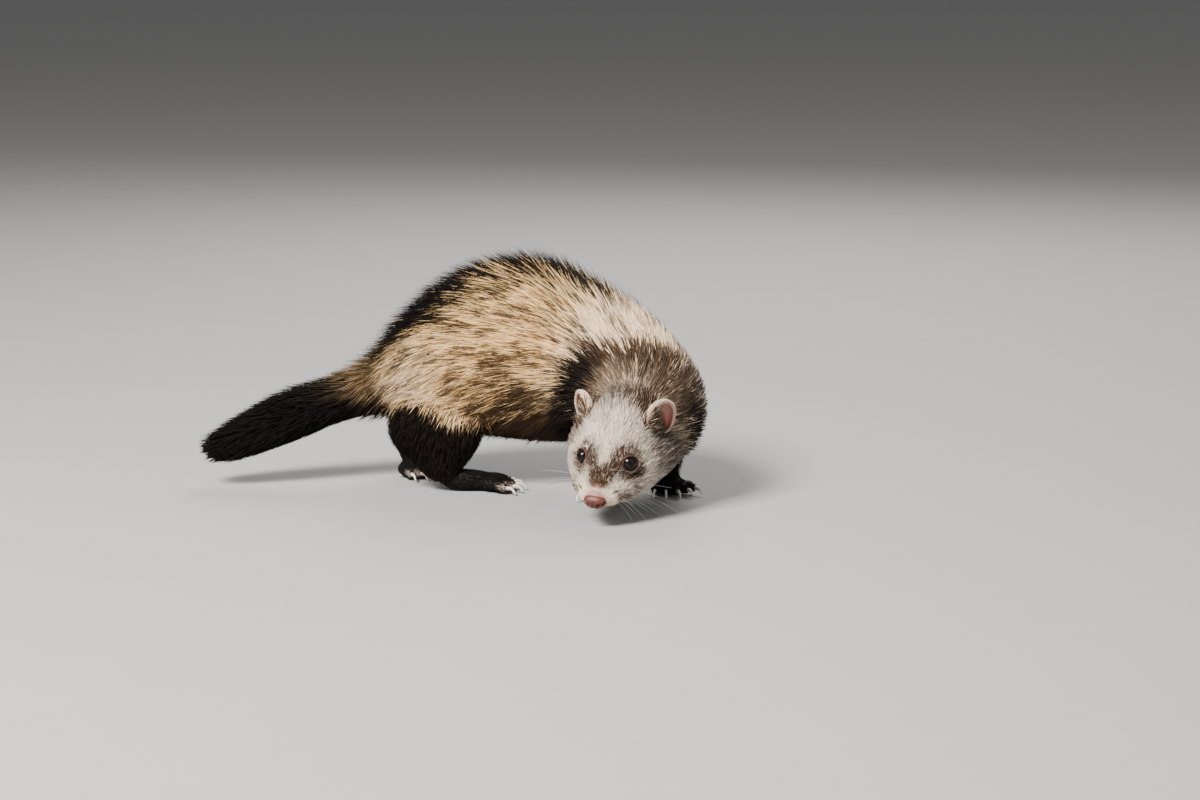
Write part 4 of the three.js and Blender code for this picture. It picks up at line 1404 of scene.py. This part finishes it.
class FERRET_OT_skin(bpy.types.Operator):
    """Builds the skin of the whole body, with the face, ears, lids and feet"""

    bl_idname = "ferret.skin"
    bl_label = "Skin"

    def execute(self, context):
        mesh = skin_mesh()
        places = places_of(mesh)
        region, t, angle = landmarks.read(places)
        sable, warm, black = markings(places, region, t, angle)
        bare, ruddy, dusk = bare_skin(places)
        masks = {"sable": under_colour(sable), "warm": warm, "black": black}
        masks.update({"bare": bare, "ruddy": ruddy, "dusk": dusk})
        for label, values in masks.items():
            mask(mesh, label, values)
        mask(mesh, "tip", np.full(len(places), 0.3))
        mask(mesh, "tone", np.full(len(places), 0.8))
        set_places(mesh, in_frame(places))
        mesh.shade_smooth()
        obj = piece("skin", mesh, skin_material())
        kept_in_place(obj, FLESH_NODES)
        print("skin triangles", len(triangles_of(mesh)))
        return {"FINISHED"}


class FERRET_OT_eyes(bpy.types.Operator):
    """Builds both eyes"""

    bl_idname = "ferret.eyes"
    bl_label = "Eyes"

    def execute(self, context):
        material = eye_material()
        for side, s in (("left", 1), ("right", -1)):
            mesh = mesh_of(f"eye_of_{side}", ball(64, 48))
            v = places_of(mesh)
            cornea = ramp(v[:, 2], 0.72, 1.0)
            p = v * EYE_RADIUS * (1 + 0.035 * cornea)[:, None]
            mask(mesh, "iris", hill(v[:, 2], 0.80, 0.07))
            p = from_head(mirrored(EYE_AT, s) + p @ eye_frame(s).T)
            set_places(mesh, in_frame(p))
            kept_in_place(piece(f"eyeball_{side}", mesh, material), [f"eye_{side}"])
        return {"FINISHED"}


class FERRET_OT_nose(bpy.types.Operator):
    """Builds the leather of the nose, with its nostrils and the groove between them, both with painted shade
    """

    bl_idname = "ferret.nose"
    bl_label = "Nose"

    def execute(self, context):
        mesh = mesh_of("nose_pad", ball(96, 72))
        v = places_of(mesh)
        half = np.array(NOSE_HALF)
        p = v * half * np.stack([np.ones(len(v)), 1 + 0.16 * v[:, 2], np.ones(len(v))], 1)
        hollow = np.zeros(len(v))
        for s in (1, -1):
            q = p - np.array((2.6, s * 2.9, 0.1))
            tilt = math.radians(s * 28)
            y = q[:, 1] * math.cos(tilt) + q[:, 2] * math.sin(tilt)
            z = q[:, 2] * math.cos(tilt) - q[:, 1] * math.sin(tilt)
            hollow = np.maximum(hollow, np.exp(-((y / 1.5) ** 2) - (z / 0.85) ** 2) * (p[:, 0] > 0))
            slit = hill(z, -0.6, 0.5) * ramp(y * s, 0.5, 2.2) * (p[:, 0] > -1.5)
            hollow = np.maximum(hollow, 0.6 * slit)
        groove = hill(p[:, 1], 0, 0.5) * ramp(p[:, 2], 3.0, 1.2) * (p[:, 0] > 0)
        rim = hill(hollow, 0.3, 0.15) * 0.15
        p = p - unit(v) * (2.0 * hollow + 0.7 * groove - rim)[:, None]
        # The nostrils and the groove get painted shade
        mask(mesh, "inside", np.maximum(ramp(hollow, 0.35, 0.8), 0.5 * groove))
        set_places(mesh, in_frame(from_head(p + np.array(NOSE_AT))))
        kept_in_place(piece("nose_pad", mesh, nose_material()), ["nose"])
        return {"FINISHED"}


class FERRET_OT_claws(bpy.types.Operator):
    """Builds the twenty claws"""

    bl_idname = "ferret.claws"
    bl_label = "Claws"

    def execute(self, context):
        material = claw_material()
        for name in FEET:
            for i, (_, _, tip, way) in enumerate(toe_lines(name)):
                root = tip - way * CLAW_BACK
                points = [root, root + way * CLAW_LENGTH * 0.6, root + way * CLAW_LENGTH]
                for p, height in zip(points, CLAW_HEIGHTS):
                    p[2] = height
                path = Path([(points[0], (1.0, 1.3)), (points[1], (0.72, 0.95)), (points[2], (0.16, 0.16))])
                mesh, t, _ = swept(f"claw_{name}_{i}", path, 16, 22, 5)
                mask(mesh, "tip", t)
                set_places(mesh, in_frame(places_of(mesh)))
                obj = piece(f"nail_{name}_{i + 1}", mesh, material)
                kept_in_place(obj, [f"claw_{name}_{i + 1}"])
        return {"FINISHED"}


class FERRET_OT_undercoat(bpy.types.Operator):
    """Grows the soft undercoat of the body"""

    bl_idname = "ferret.undercoat"
    bl_label = "Undercoat"

    def execute(self, context):
        gap = context.scene.ferret_sizes.undercoat_spacing
        chosen = roots_on(lambda p, region, t: in_part(region, "trunk") & (t * SPANS > 4.6), gap)
        _, _, _, t, angle = chosen

        def masks(sable, warm, _, lot):
            own = np.clip(under_colour(sable) + 0.12 * (lot - 0.3), 0, 1)
            count = len(lot)
            return {"sable": own, "warm": warm * toned(count, 0.75, 1.1), "tone": toned(count, 0.85, 1.12)}

        grow("undercoat", chosen, {
            "length": np.full(len(t), 12.0),
            "height": body_height(t, angle) * 0.78,
            "rise": (0, 0.7, 0.95),
            "taper": (0.8, 1.0, 0),
            "gather": (0, 0.15, 0.5),
            "clump": 5.0,
            "width": np.full(len(t), 0.95),
            "thick": 0.45,
            "masks": masks,
        })
        return {"FINISHED"}


class FERRET_OT_guard_hair(bpy.types.Operator):
    """Grows the long guard hair of the body and the brush of the tail"""

    bl_idname = "ferret.guard_hair"
    bl_label = "Guard hair"

    def execute(self, context):
        gap = context.scene.ferret_sizes.guard_spacing
        chosen = roots_on(lambda p, region, t: in_part(region, "trunk"), gap)
        _, _, _, t, angle = chosen
        tail = ramp(t * SPANS, 5.4, 4.4)
        belly = ramp(np.abs(angle), 2.2, 2.8)
        ridge = ramp(np.abs(angle), 0.9, 0.2) * ramp(t * SPANS, 5.5, 7) * ramp(t * SPANS, 12, 10)
        upper = ramp(np.abs(angle), 1.5, 1.1) * ramp(t * SPANS, 6, 7) * ramp(t * SPANS, 11.5, 10.5)
        end = ramp(t * SPANS, 2.6, 0.8) * ramp(np.abs(angle), 2.2, 1.2)
        tail_root = hill(t * SPANS, 5.5, 0.8) * ramp(np.abs(angle), 1.7, 1.1)
        uneven = ridge * (0.03 + 0.12 * rng.standard_normal(len(t)).clip(-2, 2))
        edge = hill(np.abs(angle), 2.4, 0.4) * ramp(t * SPANS, 6, 7)
        neck = ramp(t * SPANS - collar_at(angle), 0.5, 1.5) * ramp(np.abs(angle - 0.1), 1.5, 0.9)

        def masks(sable, warm, black, lot):
            count = len(lot)
            share = np.where(lot > 1 - sable * 0.75, 0.9, 0.15 * sable) + 5 * np.maximum(sable - 0.82, 0)
            dark = rng.random(count) < share * (1 - 0.09 * upper)
            tip = np.where(dark, 1 - 0.04 * rng.random(count) * (1 - black), 0.08 * rng.random(count))
            # Pale hairs are darker at the root: painted shade between the strands
            root = np.where(dark, tip * (0.75 + 0.25 * ramp(sable, 0.5, 0.9)), 0.3 * rng.random(count))
            root = root + neck * (rng.uniform(0.7, 0.97, count) - root)
            tip = tip + neck * (rng.uniform(0.72, 1.0, count) - tip)
            root = root + tail_root * (rng.uniform(0.6, 0.95, count) - root)
            tip = tip + tail_root * (rng.uniform(0.74, 1.0, count) - tip)
            own = np.stack([root, tip], 1)
            return {"sable": own, "warm": warm * toned(count, 0.7, 1.05), "tone": toned(count, 0.8, 1.2)}

        grow("guard_hair", chosen, {
            "length": (19 - 5 * tail - 8 * belly + 2 * ridge) * (1 - 0.75 * ramp(t * SPANS, 1.8, 0.2)),
            "height": body_height(t, angle) * (1 + uneven + 0.15 * end),
            "free": ramp(t * SPANS, 2.6, 1.2),
            "bunched": 1 - 0.55 * tail,
            "rise": (0, 0.45, 0.8, 1.06),
            "stand": 1 + 0.4 * ridge + 0.5 * edge + 0.1 * tail,
            "taper": (0.8, 1.0, 0.75, 0),
            "gather": (0, 0.2, 0.5, 0.78),
            "clump": 3.3,
            "width": 0.44 + 0.16 * tail,
            "over": 0.14,
            "thick": 0.7,
            "masks": masks,
        })
        return {"FINISHED"}


class FERRET_OT_leg_coat(bpy.types.Operator):
    """Grows the short coat of the legs and feet"""

    bl_idname = "ferret.leg_coat"
    bl_label = "Coat of the legs"

    def execute(self, context):
        def masks(sable, warm, black, lot):
            count = len(lot)
            dark = rng.random(count) < sable * (1 + 0.4 * (lot - ramp(sable, 1.0, 0.8)))
            darker = 1 - 0.03 * rng.random(count) * (1 - 0.6 * black)
            paler = ramp(sable, 0.4, 1) * rng.uniform(0.5, 1, count)
            own = np.where(dark, darker, paler)
            return {"sable": own, "warm": warm * toned(count, 0.6, 1.1), "tone": toned(count, 0.8, 1.2)}

        chosen = roots_on(lambda p, region, t: in_part(region, *LEGS), 1.0)
        _, _, _, t, _ = chosen
        grow("leg_coat", chosen, {
            "length": np.interp(t, (0, 0.3, 1), (15, 12, 5)),
            "height": np.interp(t, (0, 0.3, 1), (5.2, 3.6, 1.3)),
            "rise": (0, 0.5, 0.85, 1.0),
            "taper": (0.8, 1.0, 0.7, 0),
            "gather": (0, 0.12, 0.35, 0.6),
            "clump": 3.6,
            "width": 0.62 - 0.18 * t,
            "thick": 0.6,
            "masks": masks,
        })

        chosen = roots_on(lambda p, region, t: in_part(region, "paw") & (p[:, 2] > 1.2), 0.85)
        count = len(chosen[0])
        grow("foot_coat", chosen, {
            "length": np.full(count, 2.6),
            "height": np.full(count, 0.5),
            "rise": (0, 0.9, 1.0),
            "taper": (0.9, 0.9, 0),
            "gather": (0, 0.1, 0.3),
            "clump": 1.6,
            "width": np.full(count, 0.42),
            "thick": 0.5,
            "masks": masks,
        })
        return {"FINISHED"}


class FERRET_OT_face_coat(bpy.types.Operator):
    """Grows the short coat of the head and the ears"""

    bl_idname = "ferret.face_coat"
    bl_label = "Coat of the head"

    def execute(self, context):
        gap = context.scene.ferret_sizes.face_spacing

        def covered(p, region, _):
            bare, _, _ = bare_skin(p)
            return in_part(region, "head", "ear") & (rng.random(len(p)) > bare * 1.1)

        def spacing(p):
            x = to_head(p)[:, 0]
            return np.where(x > -6, gap, np.where(x > -20, gap * 1.15, gap * 1.3))

        chosen = roots_on(covered, spacing)
        roots, _, region, _, _ = chosen
        p = to_head(roots)
        x = p[:, 0]
        ear = in_part(region, "ear")
        cheek = ramp(np.abs(p[:, 1]), 15, 22) * ramp(x, -6, -20) * ramp(p[:, 2], 2, -4)
        eye = np.min([np.linalg.norm(p - mirrored(EYE_AT, s), axis=1) for s in (1, -1)], axis=0)
        near_eye = np.interp(eye, (5, 9), (0.5, 1))
        along = (-40, -24, -8, 6, 14, 22)
        length = np.interp(x, along, (14, 9, 5.2, 3.4, 2.6, 1.6)) * near_eye + 3 * cheek
        height = np.interp(x, along, (5.6, 4.0, 1.9, 1.0, 0.75, 0.45)) * near_eye

        def masks(sable, warm, _, lot):
            count = len(lot)
            fleck = (rng.random(count) < 0.06 + 0.45 * sable) * rng.uniform(0.15, 0.8, count)
            own = sable * (0.5 + rng.random(count)) + (1.1 - 0.7 * sable) * sable * (lot - 0.5)
            own = np.clip(own + fleck, 0, 1)
            root = own * ramp(sable, 0.3, 0.8)
            own = np.stack([root, own], 1)
            return {"sable": own, "warm": warm * toned(count, 0.5, 1.2), "tone": toned(count, 0.8, 1.14)}

        grow("face_coat", chosen, {
            "length": np.where(ear, 3.0, length),
            "height": np.where(ear, 0.7, height),
            "rise": (0, 0.6, 1.0),
            "taper": (0.9, 0.85, 0),
            "gather": (0, 0.1, 0.35),
            "clump": 1.7,
            "width": np.interp(x, (-40, -8, 20), (0.5, 0.34, 0.28)),
            "thick": 0.6,
            "masks": masks,
        })
        return {"FINISHED"}


class FERRET_OT_ear_tufts(bpy.types.Operator):
    """Sets the long hair that grows over the front of each ear, most of it dark"""

    bl_idname = "ferret.ear_tufts"
    bl_label = "Ear tufts"

    def execute(self, context):
        bvh = body_parts()["bvh"]
        lines, dark = [], []
        for s in (1, -1):
            axes = ear_frame(s)
            for share in rng.random(EAR_TUFTS):
                side = 11.0 - 7.5 * share + rng.normal(0, 1.3)
                up = 3.0 - 13 * share + rng.normal(0, 1.2)
                start = from_head(np.array(EAR_AT[s]) + axes @ np.array((-s * side, up, 0.6)))
                root, normal, _, _ = bvh.find_nearest(start)
                root, normal = np.array(root), np.array(normal)
                way = unit(axes @ np.array((s * 0.8, 0.7, 0.30)) + 0.22 * rng.standard_normal(3))
                way = unit(HEAD @ way + 0.35 * normal)
                bend = HEAD @ (axes @ np.array((s * 0.25, 0.05, -0.2)))
                u = np.linspace(0, 1, 4)[:, None]
                length = rng.uniform(6.0, 9.5) * (1 - 0.25 * share)
                lines.append(root - normal * 0.4 + (way * u + bend * u**2) * length)
                dark.append(rng.uniform(0.9, 1.0) if rng.random() < 0.88 else rng.uniform(0.1, 0.4))
        places = np.array(lines)
        count = len(places)
        ups = np.tile(HEAD @ UP, (count, 4, 1))
        widths = np.array((0.8, 1.0, 0.7, 0))[None] * rng.uniform(0.32, 0.5, (count, 1))
        corners, faces = tuft_arrays(places, ups, widths, 0.8)
        chart = chart_of(*landmarks.read(places[:, 0]))
        masks = {"sable": np.array(dark), "warm": np.full(count, 0.3), "black": np.zeros(count)}
        masks["tone"] = toned(count)
        mesh = tuft_mesh("ear_tufts", corners, faces, chart, masks)
        kept_in_place(piece("ear_tufts", mesh, coat_material()))
        return {"FINISHED"}


class FERRET_OT_whiskers(bpy.types.Operator):
    """Sets the long whiskers in rows on both sides of the muzzle"""

    bl_idname = "ferret.whiskers"
    bl_label = "Whiskers"

    def execute(self, context):
        longest = context.scene.ferret_sizes.whisker_length / MM
        stations = 12
        lines, widths = [], []
        for s in (1, -1):
            for row in range(WHISKER_ROWS):
                for column in range(WHISKER_COLUMNS):
                    x = 18.5 - 3.4 * column + 0.8 * row
                    z = -6.6 - 2.0 * row - 0.25 * column
                    root = on_head(np.array([x]), np.array([z]), s)[0]
                    length = longest * (0.42 + 0.17 * column) * (1 + 0.08 * rng.standard_normal())
                    out = np.array((0.35 - 0.2 * column - 0.15 * s, s * 1.0, -0.2 - 0.2 * row - 0.2 * s))
                    out = unit(out + 0.07 * rng.standard_normal(3))
                    bend = np.array((-0.3, -0.1 * s, -0.42 - 0.03 * row)) + 0.06 * rng.standard_normal(3)
                    u = np.linspace(0, 1, stations)[:, None]
                    lines.append(root - out * 0.8 + out * length * u + bend * length * u**2)
                    widths.append(WHISKER_WIDTH * (1 - u[:, 0] * 0.5))
        places = from_head(np.array(lines).reshape(-1, 3)).reshape(-1, stations, 3)
        places[:, :, 2] = np.maximum(places[:, :, 2], LOWEST_WHISKER)
        ups = np.broadcast_to(UP, places.shape).copy()
        corners, faces = tuft_arrays(places, ups, np.array(widths), 1.6)
        mesh = tuft_mesh("whiskers", corners, faces, chart_of(*landmarks.read(places[:, 0])), {})
        kept_in_place(piece("whiskers", mesh, whisker_material()))
        return {"FINISHED"}


class FERRET_OT_stage(bpy.types.Operator):
    """Sets a pale flat floor, soft lights and the camera"""

    bl_idname = "ferret.stage"
    bl_label = "Studio"

    def execute(self, context):
        bm = bmesh.new()
        bmesh.ops.create_grid(bm, x_segments=2, y_segments=2, size=FLOOR_REACH)
        floor_mesh = mesh_of("floor", bm)
        piece("floor", floor_mesh, backdrop_material())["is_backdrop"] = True
        for name, place, size, power, colour in LAMPS:
            lamp = bpy.data.lights.new(name, "AREA")
            lamp.size = size
            lamp.energy = power
            lamp.color = colour
            holder = bpy.data.objects.new(name, lamp)
            collection().objects.link(holder)
            holder.location = place
            way = Vector(LAMPS_AIM) - Vector(place)
            holder.rotation_euler = way.to_track_quat("-Z", "Y").to_euler()
        world = bpy.data.worlds.new("Studio")
        world.use_nodes = True
        background = world.node_tree.nodes["Background"]
        background.inputs["Color"].default_value = SKY
        background.inputs["Strength"].default_value = SKY_STRENGTH
        context.scene.world = world
        camera = bpy.data.cameras.new("camera")
        camera.sensor_width = 36
        camera.lens = CAMERA_LENS
        camera.clip_end = 50
        holder = bpy.data.objects.new("camera", camera)
        collection().objects.link(holder)
        rise = math.radians(CAMERA_RISE)
        aim = Vector(CAMERA_AIM) * MM
        back = Vector((0, -math.cos(rise), math.sin(rise)))
        holder.location = aim + back * CAMERA_DISTANCE * MM
        holder.rotation_euler = (-back).to_track_quat("-Z", "Y").to_euler()
        context.scene.camera = holder
        return {"FINISHED"}


OPERATORS = (
    FERRET_OT_skin,
    FERRET_OT_eyes,
    FERRET_OT_nose,
    FERRET_OT_claws,
    FERRET_OT_undercoat,
    FERRET_OT_guard_hair,
    FERRET_OT_leg_coat,
    FERRET_OT_face_coat,
    FERRET_OT_ear_tufts,
    FERRET_OT_whiskers,
    FERRET_OT_stage,
)


class FERRET_PT_panel(bpy.types.Panel):
    """Lists the sizes, the colours and the pieces"""

    bl_idname = "FERRET_PT_panel"
    bl_label = "Ferret"
    bl_space_type = "VIEW_3D"
    bl_region_type = "UI"
    bl_category = "Ferret"

    def draw(self, context):
        for group in (context.scene.ferret_sizes, context.scene.ferret_colours):
            for name in group.bl_rna.properties.keys():
                if name not in ("rna_type", "name"):
                    self.layout.prop(group, name)
        for operator in OPERATORS:
            self.layout.operator(operator.bl_idname)


CLASSES = (FerretSizes, FerretColours, *OPERATORS, FERRET_PT_panel)


def register():
    for cls in CLASSES:
        bpy.utils.register_class(cls)
    bpy.types.Scene.ferret_sizes = bpy.props.PointerProperty(type=FerretSizes)
    bpy.types.Scene.ferret_colours = bpy.props.PointerProperty(type=FerretColours)


def unregister():
    del bpy.types.Scene.ferret_colours
    del bpy.types.Scene.ferret_sizes
    for cls in reversed(CLASSES):
        bpy.utils.unregister_class(cls)


def main():
    register()
    for operator in OPERATORS:
        group, name = operator.bl_idname.split(".")
        getattr(getattr(bpy.ops, group), name)()
    boxes = {"cad": CAD_BOX, "visual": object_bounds()}
    {key: [list(map(float, corner)) for corner in box] for key, box in boxes.items()}


if __name__ == "__main__":
    main()
